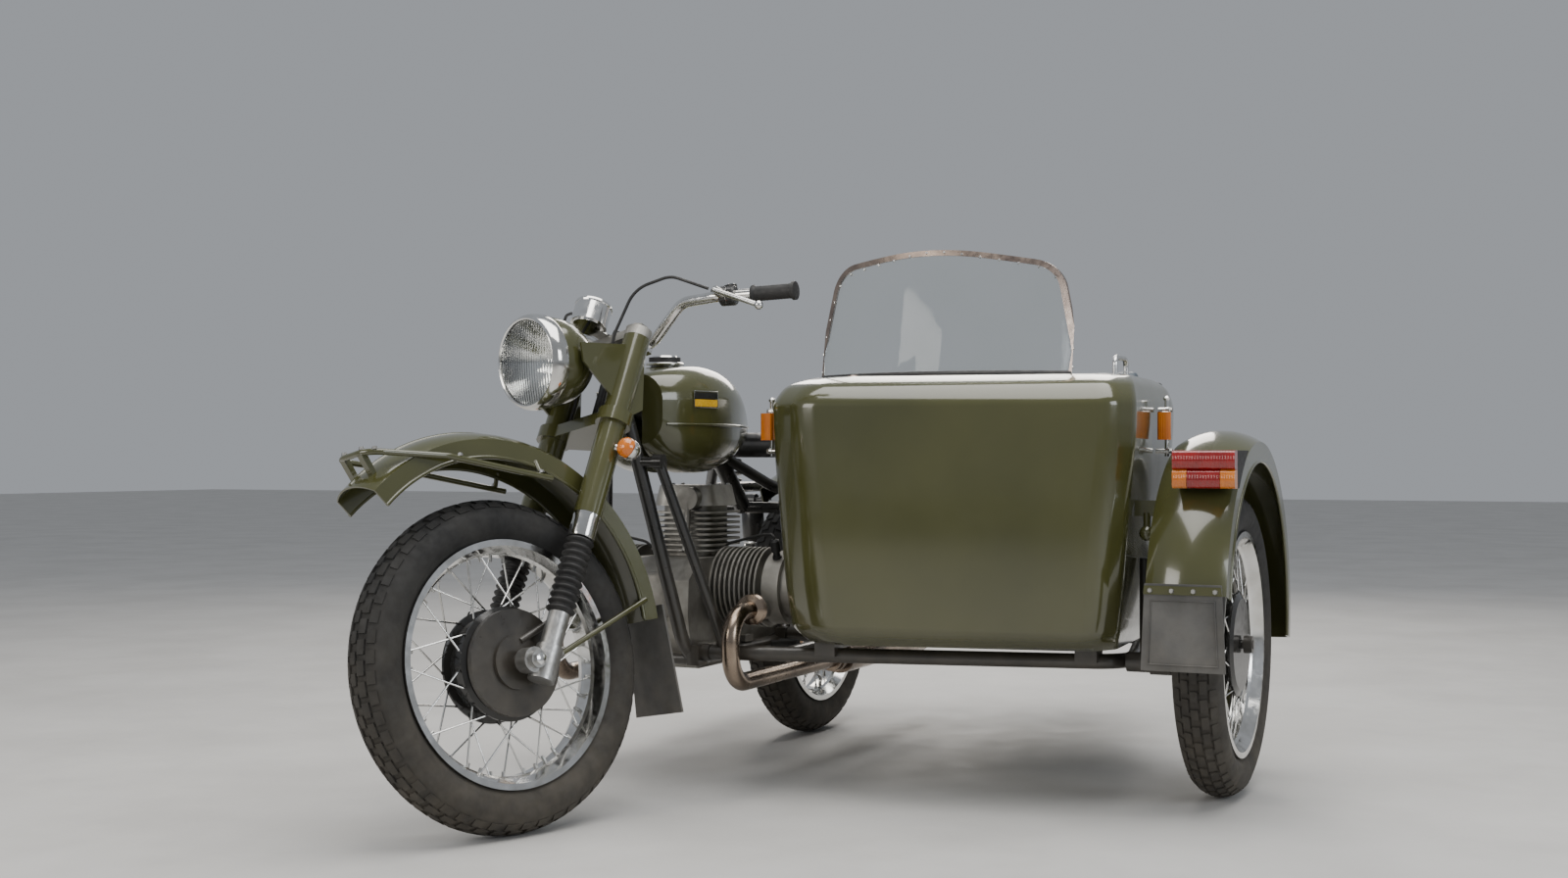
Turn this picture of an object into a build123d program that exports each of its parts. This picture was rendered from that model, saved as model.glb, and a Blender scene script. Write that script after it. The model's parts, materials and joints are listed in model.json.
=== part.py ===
# A motorcycle with a sidecar on its left, in millimetres: +X forward, +Y to its left, +Z up.
# The origin lies on the floor under the middle of the whole outfit.
# Places are given from the floor under the rear axle, in the motorcycle's middle plane.
from build123d import *
from math import asin, atan, cos, degrees, radians, sin, tan
import os

os.makedirs("parts", exist_ok=True)

# Driving dimensions
wheelbase = 1503.0
track = 1250.0
side_lead = 476.0
tyre_d = 690.0
tyre_w = 106.0
crown_r = 60.0
rake_deg = 28.5
fork_offset = 45.0
axle_lead = 38.0
rest_turn_deg = 22.0

# Gaps between pieces
touch = 0.3
running = 0.05
clear = 5.0

# Where the rear axle stands in the part's frame
tail_reach = 597.0
nose_reach = 1827.0
right_reach = 374.4
left_reach = 1348.0
rear_x = (tail_reach - nose_reach) / 2
bike_y = (right_reach - left_reach) / 2

tyre_r = tyre_d / 2
rake = radians(rake_deg)
turn = radians(rest_turn_deg)


def at(x, y, z):
    """A place given from the floor under the rear axle."""
    return Vector(rear_x + x, bike_y + y, z)


def side_plane(y):
    """Upright plane along the outfit: local x forward, local y up, normal to the right."""
    return Plane(origin=at(0, y, 0), x_dir=(1, 0, 0), z_dir=(0, -1, 0))


def cross_plane(x):
    """Upright plane across the outfit: local x to the left, local y up, normal forward."""
    return Plane(origin=at(x, 0, 0), x_dir=(0, 1, 0), z_dir=(1, 0, 0))


def floor_plane(z):
    """Level plane: local x forward, local y to the left, normal up."""
    return Plane(origin=at(0, 0, z))


def tube(points, radius, bends):
    """Adds a round bar along straight runs joined by arcs to the piece being built."""
    with BuildLine() as path:
        if len(points) == 2:
            Line(*points)
        else:
            FilletPolyline(*points, radius=bends)
    with BuildSketch(Plane(origin=path.line @ 0, z_dir=path.line % 0)) as ring:
        Circle(radius)
    sweep(sections=ring.sketch, path=path.line)


def bar(start, end, radius):
    """Adds a straight round bar between two places to the piece being built."""
    run = end - start
    with Locations(Plane(origin=start, z_dir=run)):
        Cylinder(radius, run.length, align=(Align.CENTER, Align.CENTER, Align.MIN))


def bore(start, end, radius):
    """Cuts a straight round hole between two places from the piece being built."""
    run = end - start
    with Locations(Plane(origin=start, z_dir=run)):
        Cylinder(radius, run.length, align=(Align.CENTER, Align.CENTER, Align.MIN), mode=Mode.SUBTRACT)


# Steering geometry: the front end is built straight ahead and then turned to its rest angle
lean = asin(sin(rake) * sin(turn))
axle_offset = fork_offset + axle_lead
front_z = axle_offset * sin(rake) * (1 - cos(turn)) + (tyre_r - crown_r) * cos(lean) + crown_r
up_dir = Vector(-sin(rake), 0, cos(rake))
out_dir = Vector(cos(rake), 0, sin(rake))
front_hub = at(wheelbase, 0, front_z)
steer_foot = front_hub - out_dir * axle_offset
steering_axis = Axis(steer_foot, up_dir)


def fork_plane(height):
    """Plane across the steering axis: local x forward, local y left, normal up the fork."""
    return Plane(origin=steer_foot + up_dir * height, x_dir=out_dir, z_dir=up_dir)


def in_fork(forward, left, height):
    """A place given in the fork's own directions from the foot of the steering axis."""
    return steer_foot + out_dir * forward + Vector(0, left, 0) + up_dir * height


def steered(part, name):
    """Turns a front piece from straight ahead to its rest angle and names it."""
    piece = part.rotate(steering_axis, -rest_turn_deg)
    piece.label = name
    return piece


def from_axle(x, y, z):
    """A place given from the front axle's centre, straight ahead."""
    return front_hub + Vector(x, y, z)


# Wheels
rim_seat_r = 243.0
rim_edge_r = rim_seat_r + 13
rim_well_r = rim_seat_r - 11
rim_metal = 5.0
rim_half_w = 46.0
hub_half_w = 40.0
drum_r = 104.0
flange_r = 118.0
flange_w = 6.0
spoke_d = 4.0
spoke_pairs = 10
spoke_lean_deg = 27.0
axle_r = 10.0
hub_boss_r = 32.0

rear_hub = at(0, 0, tyre_r)
side_hub = at(side_lead, track, tyre_r)
wheel_table = [
    # name, centre of the hub, turn to the right at rest in degrees
    ("front", front_hub, rest_turn_deg),
    ("rear", rear_hub, 0.0),
    ("sidecar", side_hub, 0.0),
]

for wheel_name, hub, turned_deg in wheel_table:
    wheel_axis = Axis(hub, (0, 1, 0))
    wheel_section = Plane(origin=hub, x_dir=(0, 1, 0), z_dir=(1, 0, 0))
    bead_half_w = rim_half_w - rim_metal - 4
    tread_half_w = tyre_w / 2 - 6

    with BuildPart() as tyre:
        with BuildSketch(wheel_section):
            with BuildLine():
                crown_edge_r = tyre_r - crown_r + (crown_r**2 - tread_half_w**2) ** 0.5
                left_shoulder = (tread_half_w, crown_edge_r)
                right_shoulder = (-tread_half_w, crown_edge_r)
                ThreePointArc(right_shoulder, (0, tyre_r), left_shoulder)
                for side in (1, -1):
                    shoulder = (side * tread_half_w, crown_edge_r)
                    widest = (side * tyre_w / 2, (crown_edge_r + rim_edge_r) / 2)
                    bead_top = (side * bead_half_w, rim_edge_r)
                    ThreePointArc(shoulder, widest, bead_top)
                    Line(bead_top, (side * bead_half_w, rim_seat_r + touch))
                Line((bead_half_w, rim_seat_r + touch), (-bead_half_w, rim_seat_r + touch))
            make_face()
        revolve(axis=wheel_axis)
    round_tyre = tyre.part.rotate(steering_axis, -turned_deg)
    round_tyre.label = f"{wheel_name}_tyre"
    export_step(round_tyre, f"parts/{wheel_name}_tyre.step")

    with BuildPart() as wheel:
        with BuildSketch(wheel_section):
            with BuildLine():
                Polyline(
                    (rim_half_w, rim_edge_r),
                    (rim_half_w - rim_metal, rim_edge_r),
                    (rim_half_w - rim_metal - 3, rim_seat_r),
                    (20, rim_seat_r - 2),
                    (14, rim_well_r),
                    (-14, rim_well_r),
                    (-20, rim_seat_r - 2),
                    (-rim_half_w + rim_metal + 3, rim_seat_r),
                    (-rim_half_w + rim_metal, rim_edge_r),
                    (-rim_half_w, rim_edge_r),
                    (-rim_half_w, rim_seat_r),
                    (-22, rim_well_r),
                    (-16, rim_well_r - rim_metal),
                    (16, rim_well_r - rim_metal),
                    (22, rim_well_r),
                    (rim_half_w, rim_seat_r),
                    close=True,
                )
            make_face()
        with BuildSketch(wheel_section):
            with BuildLine():
                Polyline(
                    (-hub_half_w, 0),
                    (-hub_half_w, hub_boss_r),
                    (-hub_half_w + flange_w, flange_r),
                    (-hub_half_w + 2 * flange_w, flange_r),
                    (-hub_half_w + 2 * flange_w + 4, drum_r),
                    (hub_half_w - 2 * flange_w - 4, drum_r),
                    (hub_half_w - 2 * flange_w, flange_r),
                    (hub_half_w - flange_w, flange_r),
                    (hub_half_w, drum_r),
                    (hub_half_w, 0),
                    close=True,
                )
            make_face()
        revolve(axis=wheel_axis)
        spoke_planes = []
        for side in (1, -1):
            for number in range(spoke_pairs):
                for way in (1, -1):
                    start_deg = 360 / spoke_pairs * (number + side / 4) + way * 5
                    end_deg = start_deg + way * spoke_lean_deg
                    start_r = flange_r - 6
                    start = Vector(start_r * cos(radians(start_deg)),
                                   side * (hub_half_w - 1.5 * flange_w + way * 2.5),
                                   start_r * sin(radians(start_deg)))
                    end = Vector((rim_well_r - 2) * cos(radians(end_deg)),
                                 side * 9, (rim_well_r - 2) * sin(radians(end_deg)))
                    spoke_planes.append(Plane(origin=hub + start, z_dir=end - start))
        spoke_length = (end - start).length
        with Locations(*spoke_planes):
            Cylinder(spoke_d / 2, spoke_length, align=(Align.CENTER, Align.CENTER, Align.MIN))
        bore(hub - Vector(0, 2 * hub_half_w, 0), hub + Vector(0, 2 * hub_half_w, 0), axle_r + running)
    spoked = wheel.part.rotate(steering_axis, -turned_deg)
    spoked.label = f"{wheel_name}_wheel"
    export_step(spoked, f"parts/{wheel_name}_wheel.step")

# Fork
leg_y = 106.0
cover_r = 30.0
cover_low = 345.0
cover_high = 786.0
head_low = 600.0
head_high = 770.0
yoke_t = 30.0
head_r = 30.0
stem_r = 14.0
collar_r = 27.0
gaiter_r = 31.0
gaiter_ribs = 11
slider_r = 23.0
gaiter_low = 118.0
collar_low = 290.0
top_yoke_t = 22.0

lamp_r = 100.0
lamp_rim_r = 106.0
lamp_x = 1240.0
lamp_z = 985.0
ear_t = 5.0
ear_y = lamp_r + 9

with BuildPart() as fork_upper:
    with BuildSketch(fork_plane(head_low - clear - yoke_t)):
        with Locations((fork_offset, leg_y), (fork_offset, -leg_y)):
            Circle(cover_r + 9)
        with BuildLine():
            Polyline(
                (fork_offset + 22, leg_y), (fork_offset + 22, -leg_y),
                (fork_offset - 30, -leg_y), (-head_r, -22), (-head_r, 22),
                (fork_offset - 30, leg_y), close=True,
            )
        make_face()
    extrude(amount=yoke_t)
    with BuildSketch(fork_plane(cover_low)):
        with Locations((fork_offset, leg_y), (fork_offset, -leg_y)):
            Circle(cover_r)
    extrude(amount=cover_high - cover_low)
    for side in (1, -1):
        ear_face = ear_y + ear_t if side > 0 else -ear_y
        with BuildSketch(side_plane(ear_face)):
            with BuildLine():
                Polyline(
                    (lamp_x + 22, lamp_z + 20), (lamp_x + 22, lamp_z - 22),
                    (lamp_x - 84, lamp_z - 146), (lamp_x - 126, lamp_z - 132),
                    (lamp_x - 160, lamp_z + 16), close=True,
                )
            make_face()
        extrude(amount=ear_t)
export_step(steered(fork_upper.part, "fork_upper"), "parts/fork_upper.step")

with BuildPart() as fork_crown:
    crown_low = cover_high + touch
    with BuildSketch(fork_plane(crown_low)):
        with Locations((fork_offset, leg_y), (fork_offset, -leg_y)):
            Circle(cover_r)
        with BuildLine():
            Polyline(
                (fork_offset + 18, leg_y), (fork_offset + 18, -leg_y),
                (fork_offset - 24, -leg_y), (-26, -20), (-26, 20),
                (fork_offset - 24, leg_y), close=True,
            )
        make_face()
    extrude(amount=top_yoke_t)
    with BuildSketch(fork_plane(head_low - clear + touch)):
        Circle(stem_r)
    extrude(amount=cover_high - head_low + clear + top_yoke_t)
    with BuildSketch(fork_plane(crown_low + top_yoke_t)):
        RegularPolygon(21, 6)
        with Locations((fork_offset, leg_y), (fork_offset, -leg_y)):
            RegularPolygon(18, 6)
    extrude(amount=11)
export_step(steered(fork_crown.part, "fork_crown"), "parts/fork_crown.step")

stay_head = (-360.0, 68.0, 96.0)


def stay_line(side):
    """Where a stay of the front mudguard meets its lug on the leg, and the way it runs from there."""
    foot = from_axle(-80, side * leg_y, 4)
    return foot, (from_axle(stay_head[0], side * stay_head[1], stay_head[2]) - foot).normalized()


with BuildPart() as fork_legs:
    for side in (1, -1):
        with BuildSketch(fork_plane(collar_low)):
            with Locations((fork_offset, side * leg_y)):
                Circle(collar_r)
        extrude(amount=cover_low - collar_low - touch)
        with BuildSketch(fork_plane(-26)):
            with Locations((fork_offset, side * leg_y)):
                Circle(slider_r)
        extrude(amount=gaiter_low + 26 - touch)
        with BuildSketch(side_plane(side * leg_y + 17)):
            with Locations((wheelbase, front_z)):
                Circle(26)
        extrude(amount=34)
        bar(in_fork(fork_offset - 6, side * leg_y, 6), in_fork(axle_offset, side * leg_y, 0), 18)
        bar(in_fork(fork_offset, side * leg_y, -30), in_fork(fork_offset, side * leg_y, 44), slider_r + 5)
        lug_end, lug_way = stay_line(side)
        bar(lug_end - lug_way * 36, lug_end, 9)
    bar(from_axle(0, -leg_y - 34, 0), from_axle(0, leg_y + 34, 0), axle_r)
    bar(from_axle(0, leg_y, 0), from_axle(0, leg_y + 30, 0), 18)
    bar(from_axle(0, -leg_y - 30, 0), from_axle(0, -leg_y, 0), 18)
export_step(steered(fork_legs.part, "fork_legs"), "parts/fork_legs.step")

with BuildPart() as fork_gaiters:
    rib_step = (collar_low - gaiter_low - 2 * touch) / gaiter_ribs
    for side in (1, -1):
        with BuildSketch(fork_plane(gaiter_low)):
            with Locations((fork_offset, side * leg_y)):
                Circle(gaiter_r - 7)
        extrude(amount=collar_low - gaiter_low - 2 * touch)
        for rib in range(gaiter_ribs):
            with BuildSketch(fork_plane(gaiter_low + rib * rib_step + 2)):
                with Locations((fork_offset, side * leg_y)):
                    Circle(gaiter_r)
            extrude(amount=rib_step * 0.55)
export_step(steered(fork_gaiters.part, "fork_gaiters"), "parts/fork_gaiters.step")

# Front brake plate with its lever and the torque arm to the slider
plate_t = 14.0
plate_face = hub_half_w + clear
with BuildPart() as brake_plate:
    with BuildSketch(Plane(origin=from_axle(0, plate_face + plate_t, 0), x_dir=(1, 0, 0), z_dir=(0, -1, 0))):
        Circle(drum_r + 6)
    extrude(amount=plate_t)
    with BuildSketch(Plane(origin=from_axle(0, plate_face + plate_t, 0), x_dir=(1, 0, 0), z_dir=(0, 1, 0))):
        Circle(56)
    extrude(amount=8)
    bar(from_axle(0, plate_face, 0), from_axle(0, leg_y - slider_r - touch, 0), 16)
    bar(from_axle(-12, plate_face + plate_t + 6, 42), from_axle(-150, plate_face + plate_t + 6, 95), 7)
    bore(from_axle(0, 0, 0), from_axle(0, 2 * leg_y, 0), axle_r + running)
export_step(steered(brake_plate.part, "brake_plate"), "parts/brake_plate.step")

# Front mudguard: a deep valanced strip on one arc, with its rail and rear flap
guard_r = 435.0
guard_dx = 25.0
guard_dz = 52.0
guard_half_w = 70.0
guard_metal = 4.0
guard_valance = 62.0
guard_front_deg = 50.0
guard_rear_deg = 180.0
guard_drop = 24.0
strap_y = 32.0
strap_w = 16.0
strap_outline = [(280, 450), (292, 446), (268, 398), (258, 402)]

guard_centre = from_axle(guard_dx, 0, guard_dz)
guard_tip = Plane(
    origin=guard_centre, x_dir=(0, 1, 0),
    z_dir=(sin(radians(guard_front_deg)), 0, -cos(radians(guard_front_deg))),
)
with BuildPart() as front_mudguard:
    with BuildSketch(guard_tip):
        with BuildLine():
            Line((-guard_half_w, guard_r - guard_valance), (-guard_half_w, guard_r - guard_drop))
            ThreePointArc(
                (-guard_half_w, guard_r - guard_drop), (0, guard_r),
                (guard_half_w, guard_r - guard_drop),
            )
            Line((guard_half_w, guard_r - guard_drop), (guard_half_w, guard_r - guard_valance))
            inner = guard_half_w - guard_metal
            Line((guard_half_w, guard_r - guard_valance), (inner, guard_r - guard_valance))
            Line((inner, guard_r - guard_valance), (inner, guard_r - guard_drop))
            ThreePointArc(
                (inner, guard_r - guard_drop), (0, guard_r - guard_metal),
                (-inner, guard_r - guard_drop),
            )
            Line((-inner, guard_r - guard_drop), (-inner, guard_r - guard_valance))
            Line((-inner, guard_r - guard_valance), (-guard_half_w, guard_r - guard_valance))
        make_face()
    revolve(axis=Axis(guard_centre, (0, -1, 0)), revolution_arc=guard_rear_deg - guard_front_deg)
    rail_y = guard_half_w + 14
    tube(
        [
            from_axle(-135, rail_y, 372), from_axle(120, rail_y, 428), from_axle(288, rail_y - 26, 448),
            from_axle(288, 26 - rail_y, 448), from_axle(120, -rail_y, 428), from_axle(-135, -rail_y, 372),
        ],
        6.5, [90, 42, 42, 90],
    )
    for side in (1, -1):
        for post_x, rail_end, guard_end in ((-110, 378, 412), (90, 422, 422)):
            bar(from_axle(post_x, side * rail_y, rail_end), from_axle(post_x, side * (guard_half_w - 2), guard_end), 5)
        with BuildSketch(side_plane(side * strap_y + strap_w / 2)):
            with BuildLine():
                Polyline(
                    *[(wheelbase + forward, front_z + up) for forward, up in strap_outline], close=True,
                )
            make_face()
        extrude(amount=strap_w)
        stay_foot, stay_way = stay_line(side)
        bar(stay_foot + stay_way * touch, from_axle(stay_head[0], side * stay_head[1], stay_head[2]), 6)
export_step(steered(front_mudguard.part, "front_mudguard"), "parts/front_mudguard.step")

flap_t = 5.0
with BuildPart() as front_mudflap:
    flap_x = wheelbase + guard_dx - guard_r - touch
    with BuildSketch(cross_plane(flap_x - flap_t)):
        with BuildLine():
            Polyline(
                (-guard_half_w + 8, front_z + guard_dz + 30), (guard_half_w - 8, front_z + guard_dz + 30),
                (guard_half_w + 8, 185), (-guard_half_w - 8, 185), close=True,
            )
        make_face()
    extrude(amount=flap_t)
export_step(steered(front_mudflap.part, "front_mudflap"), "parts/front_mudflap.step")

# Headlamp on its two ears, with the lens as a separate piece
with BuildPart() as headlamp:
    with BuildSketch(side_plane(0)):
        with BuildLine():
            Line((lamp_x + 82, lamp_z), (lamp_x + 82, lamp_z + lamp_rim_r))
            Line((lamp_x + 82, lamp_z + lamp_rim_r), (lamp_x + 54, lamp_z + lamp_rim_r))
            Line((lamp_x + 54, lamp_z + lamp_rim_r), (lamp_x + 50, lamp_z + lamp_r))
            ThreePointArc(
                (lamp_x + 50, lamp_z + lamp_r), (lamp_x - 42, lamp_z + 0.72 * lamp_r), (lamp_x - 82, lamp_z),
            )
            Line((lamp_x - 82, lamp_z), (lamp_x + 82, lamp_z))
        make_face()
    revolve(axis=Axis(at(0, 0, lamp_z), (1, 0, 0)))
    bar(at(lamp_x, ear_y - touch, lamp_z), at(lamp_x, -ear_y + touch, lamp_z), 12)
export_step(steered(headlamp.part, "headlamp"), "parts/headlamp.step")

lens_r = 93.0
lens_bulge = 13.0
with BuildPart() as headlamp_lens:
    with BuildSketch(side_plane(0)):
        with BuildLine():
            lens_x = lamp_x + 82 + touch
            dome_r = (lens_r**2 + lens_bulge**2) / (2 * lens_bulge)
            dome_x = lens_x + 3 + lens_bulge - dome_r
            half_way = (dome_x + (dome_r**2 - lens_r**2 / 4) ** 0.5, lamp_z + lens_r / 2)
            Line((lens_x, lamp_z), (lens_x, lamp_z + lens_r))
            Line((lens_x, lamp_z + lens_r), (lens_x + 3, lamp_z + lens_r))
            ThreePointArc((lens_x + 3, lamp_z + lens_r), half_way, (lens_x + 3 + lens_bulge, lamp_z))
            Line((lens_x + 3 + lens_bulge, lamp_z), (lens_x, lamp_z))
        make_face()
    revolve(axis=Axis(at(0, 0, lamp_z), (1, 0, 0)))
export_step(steered(headlamp_lens.part, "headlamp_lens"), "parts/headlamp_lens.step")

# Instrument on a plate over the top yoke
crown_top = crown_low + top_yoke_t
pod_r = 42.0
pod_forward = 110.0
with BuildPart() as instrument:
    with BuildSketch(fork_plane(crown_top + touch)):
        with Locations(((pod_forward + 24) / 2, 0)):
            Rectangle(pod_forward - 24, 36)
        with Locations((pod_forward, 0)):
            Circle(pod_r - 6)
    extrude(amount=4)
    with BuildSketch(fork_plane(crown_top + 4)):
        with Locations((pod_forward, 0)):
            Circle(pod_r)
    extrude(amount=46)
export_step(steered(instrument.part, "instrument"), "parts/instrument.step")

# Handlebar with its clamps, perches and levers
bar_r = 12.5
grip_r = 17.0
clamp_forward = -30.0
clamp_high = crown_top + 22
bar_route = [
    # forward, left, height in the fork's own directions
    (clamp_forward, 60, clamp_high),
    (-6, 165, clamp_high + 66),
    (-28, 252, clamp_high + 70),
    (-62, 326, clamp_high + 75),
    (-104, 426, clamp_high + 81),
]
grip_close = 5.0
with BuildPart() as handlebar:
    left_run = [in_fork(*place) for place in bar_route]
    right_run = [in_fork(forward, -left, height) for forward, left, height in bar_route]
    tube(right_run[::-1] + left_run, bar_r, [60, 70, 60, 60, 60, 60, 70, 60])
    for side in (1, -1):
        with BuildSketch(fork_plane(crown_top + touch)):
            with Locations((clamp_forward + 6, side * 42)):
                RectangleRounded(34, 26, 5)
        extrude(amount=clamp_high - crown_top + bar_r)
        bend_end = in_fork(bar_route[2][0], side * bar_route[2][1], bar_route[2][2])
        bar_end = in_fork(bar_route[3][0], side * bar_route[3][1], bar_route[3][2])
        bar(bend_end + (bar_end - bend_end) * 0.2, bend_end + (bar_end - bend_end) * 0.55, 21)
        lever_root = in_fork(2, side * 282, clamp_high + 62)
        lever_tip = in_fork(-44, side * 392, clamp_high + 18)
        bar(in_fork(-41, side * 280, clamp_high + 68), lever_root, 10)
        bar(lever_root, lever_tip, 6)
        with Locations(lever_tip):
            Sphere(10)
export_step(steered(handlebar.part, "handlebar"), "parts/handlebar.step")

with BuildPart() as grips:
    for side in (1, -1):
        grip_bend = in_fork(bar_route[-2][0], side * bar_route[-2][1], bar_route[-2][2])
        grip_stop = in_fork(bar_route[-1][0], side * bar_route[-1][1], bar_route[-1][2])
        grip_way = (grip_stop - grip_bend).normalized()
        bar(grip_bend + grip_way * 9, grip_stop + grip_way * grip_close, grip_r)
        bar(grip_stop - grip_way * 8, grip_stop + grip_way * grip_close, grip_r + 4)
        bore(grip_bend, grip_stop + grip_way * touch, bar_r + touch)
export_step(steered(grips.part, "grips"), "parts/grips.step")

# Front indicators on stalks beside the fork covers
with BuildPart() as front_indicators:
    for side in (1, -1):
        lamp_side = leg_y + cover_r + 26
        bar(in_fork(0, side * lamp_side, 505), in_fork(52, side * lamp_side, 505), 23)
        bar(in_fork(fork_offset, side * (leg_y + cover_r + touch), 505), in_fork(fork_offset, side * lamp_side, 505), 8)
export_step(steered(front_indicators.part, "front_indicators"), "parts/front_indicators.step")

# Frame: head tube, backbone, two cradle loops, seat rails and mounting lugs
rail_r = 16.0
rail_y2 = 112.0
rail_z = 300.0
backbone_r = 22.0
backbone_front = (1065.0, 0.0, 905.0)
backbone_bend = (600.0, 0.0, 800.0)
seat_rail_y = 95.0
seat_rail_z = 690.0
pivot_x = 385.0
lug_face_y = 142.0
side_mount_x = (925.0, 450.0)
shock_top = (85.0, 650.0)
strut_lug_y = (84.0, 152.0)
rear_guard_half_w = 78.0
hanger_x = 410.0
hanger_lug_y = 140.0
with BuildPart() as frame:
    with BuildSketch(fork_plane(head_low)):
        Circle(head_r)
    extrude(amount=head_high - head_low)
    tube([at(*backbone_front), at(*backbone_bend), at(430, 0, 640)], backbone_r, [120])
    bar(at(430, -rail_y2, 640), at(430, rail_y2, 640), 14)
    bar(at(915, -rail_y2, rail_z), at(915, rail_y2, rail_z), 13)
    for side in (1, -1):
        tube(
            [at(1085, side * 20, 905), at(945, side * rail_y2, rail_z), at(400, side * rail_y2, rail_z),
             at(330, side * rail_y2, 665)],
            rail_r, [90, 90],
        )
        tube([at(560, side * 14, 770), at(430, side * seat_rail_y, seat_rail_z),
              at(-130, side * seat_rail_y, seat_rail_z)], 14, [90])
        bar(at(334, side * rail_y2, 645), at(330, side * seat_rail_y, seat_rail_z - 4), 14)
        with BuildSketch(side_plane(side * rail_y2 + rail_r)):
            with Locations((pivot_x, tyre_r)):
                Circle(30)
            with Locations((pivot_x, 318)):
                Rectangle(50, 40)
        extrude(amount=2 * rail_r)
        bar(at(shock_top[0], side * seat_rail_y, seat_rail_z), at(shock_top[0], side * seat_rail_y, shock_top[1]), 13)
        bar(at(shock_top[0], side * seat_rail_y, shock_top[1]), at(shock_top[0], side * (seat_rail_y + 18), shock_top[1]), 12)
        bar(at(-20, side * seat_rail_y, seat_rail_z), at(-20, side * (rear_guard_half_w + touch), seat_rail_z), 8)
        bar(at(hanger_x, side * rail_y2, rail_z), at(hanger_x, side * hanger_lug_y, rail_z), 9)
    for mount_x in side_mount_x:
        with BuildSketch(cross_plane(mount_x - 22)):
            with Locations(((rail_y2 + lug_face_y) / 2, rail_z + 12)):
                Rectangle(lug_face_y - rail_y2, 46)
        extrude(amount=44)
    bar(at(1051, 44, 760), at(1051, strut_lug_y[0], 760), 12)
    bar(at(342, rail_y2, 600), at(342, strut_lug_y[1], 600), 12)
    bore(in_fork(0, 0, head_low - 5), in_fork(0, 0, head_high + 5), stem_r + running)
frame.part.label = "frame"
export_step(frame.part, "parts/frame.step")

# Swing arm with the rear axle and the final drive on the right
arm_y = 88.0
arm_r = 17.0
damper_lug_y = 124.0
with BuildPart() as swing_arm:
    pivot_end_y = rail_y2 - rail_r - touch
    bar(at(pivot_x, -pivot_end_y, tyre_r), at(pivot_x, pivot_end_y, tyre_r), 22)
    for side in (1, -1):
        bar(at(pivot_x, side * (arm_y - 14), tyre_r), at(0, side * arm_y, tyre_r), arm_r)
        bar(at(46, side * arm_y, tyre_r + 8), at(46, side * damper_lug_y, tyre_r + 8), 12)
    bar(at(0, -arm_y - 34, tyre_r), at(0, arm_y + 34, tyre_r), axle_r)
    bar(at(0, arm_y - 22, tyre_r), at(0, arm_y + 24, tyre_r), 26)
    bar(at(0, -arm_y - 20, tyre_r), at(0, -hub_half_w - clear, tyre_r), 84)
    bar(at(0, -arm_y - 32, tyre_r), at(0, -arm_y - 20, tyre_r), 40)
    bar(at(70, -arm_y, tyre_r), at(130, -arm_y, tyre_r), 27)
swing_arm.part.label = "swing_arm"
export_step(swing_arm.part, "parts/swing_arm.step")

# Rear dampers between the arm and the seat rails
damper_y = 142.0
with BuildPart() as rear_dampers:
    for side in (1, -1):
        foot = at(46, side * damper_y, tyre_r + 8)
        head = at(shock_top[0], side * damper_y, shock_top[1])
        way = (head - foot).normalized()
        bar(foot, head, 13)
        bar(foot + way * 50, head - way * 24, 26)
        bar(foot, at(46, side * (damper_lug_y + touch), tyre_r + 8), 9)
        bar(head, at(shock_top[0], side * (seat_rail_y + 18 + touch), shock_top[1]), 9)
        bar(foot - Vector(0, side * 14, 0), foot + Vector(0, side * 14, 0), 18)
        bar(head - Vector(0, side * 14, 0), head + Vector(0, side * 14, 0), 18)
rear_dampers.part.label = "rear_dampers"
export_step(rear_dampers.part, "parts/rear_dampers.step")

# Engine block and gearbox as one plain mass between the cradle tubes
case_half_w = 92.0
case_low = 270.0
case_high = 530.0
gearbox_x = pivot_x + 22 + clear
with BuildPart() as crankcase:
    with BuildSketch(side_plane(case_half_w)):
        with BuildLine():
            Polyline(
                (905, 400), (880, 285), (850, case_low), (600, case_low), (560, 300), (gearbox_x, 320),
                (gearbox_x, 480), (560, 505), (590, case_high), (850, case_high), (900, 480), close=True,
            )
        make_face()
        fillet(vertices(), radius=10)
    extrude(amount=2 * case_half_w)
    with BuildSketch(floor_plane(rail_z + rail_r + touch)):
        with Locations((640, 0), (840, 0)):
            Rectangle(44, 2 * (rail_y2 + 10))
    extrude(amount=16)
crankcase.part.label = "crankcase"
export_step(crankcase.part, "parts/crankcase.step")

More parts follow.
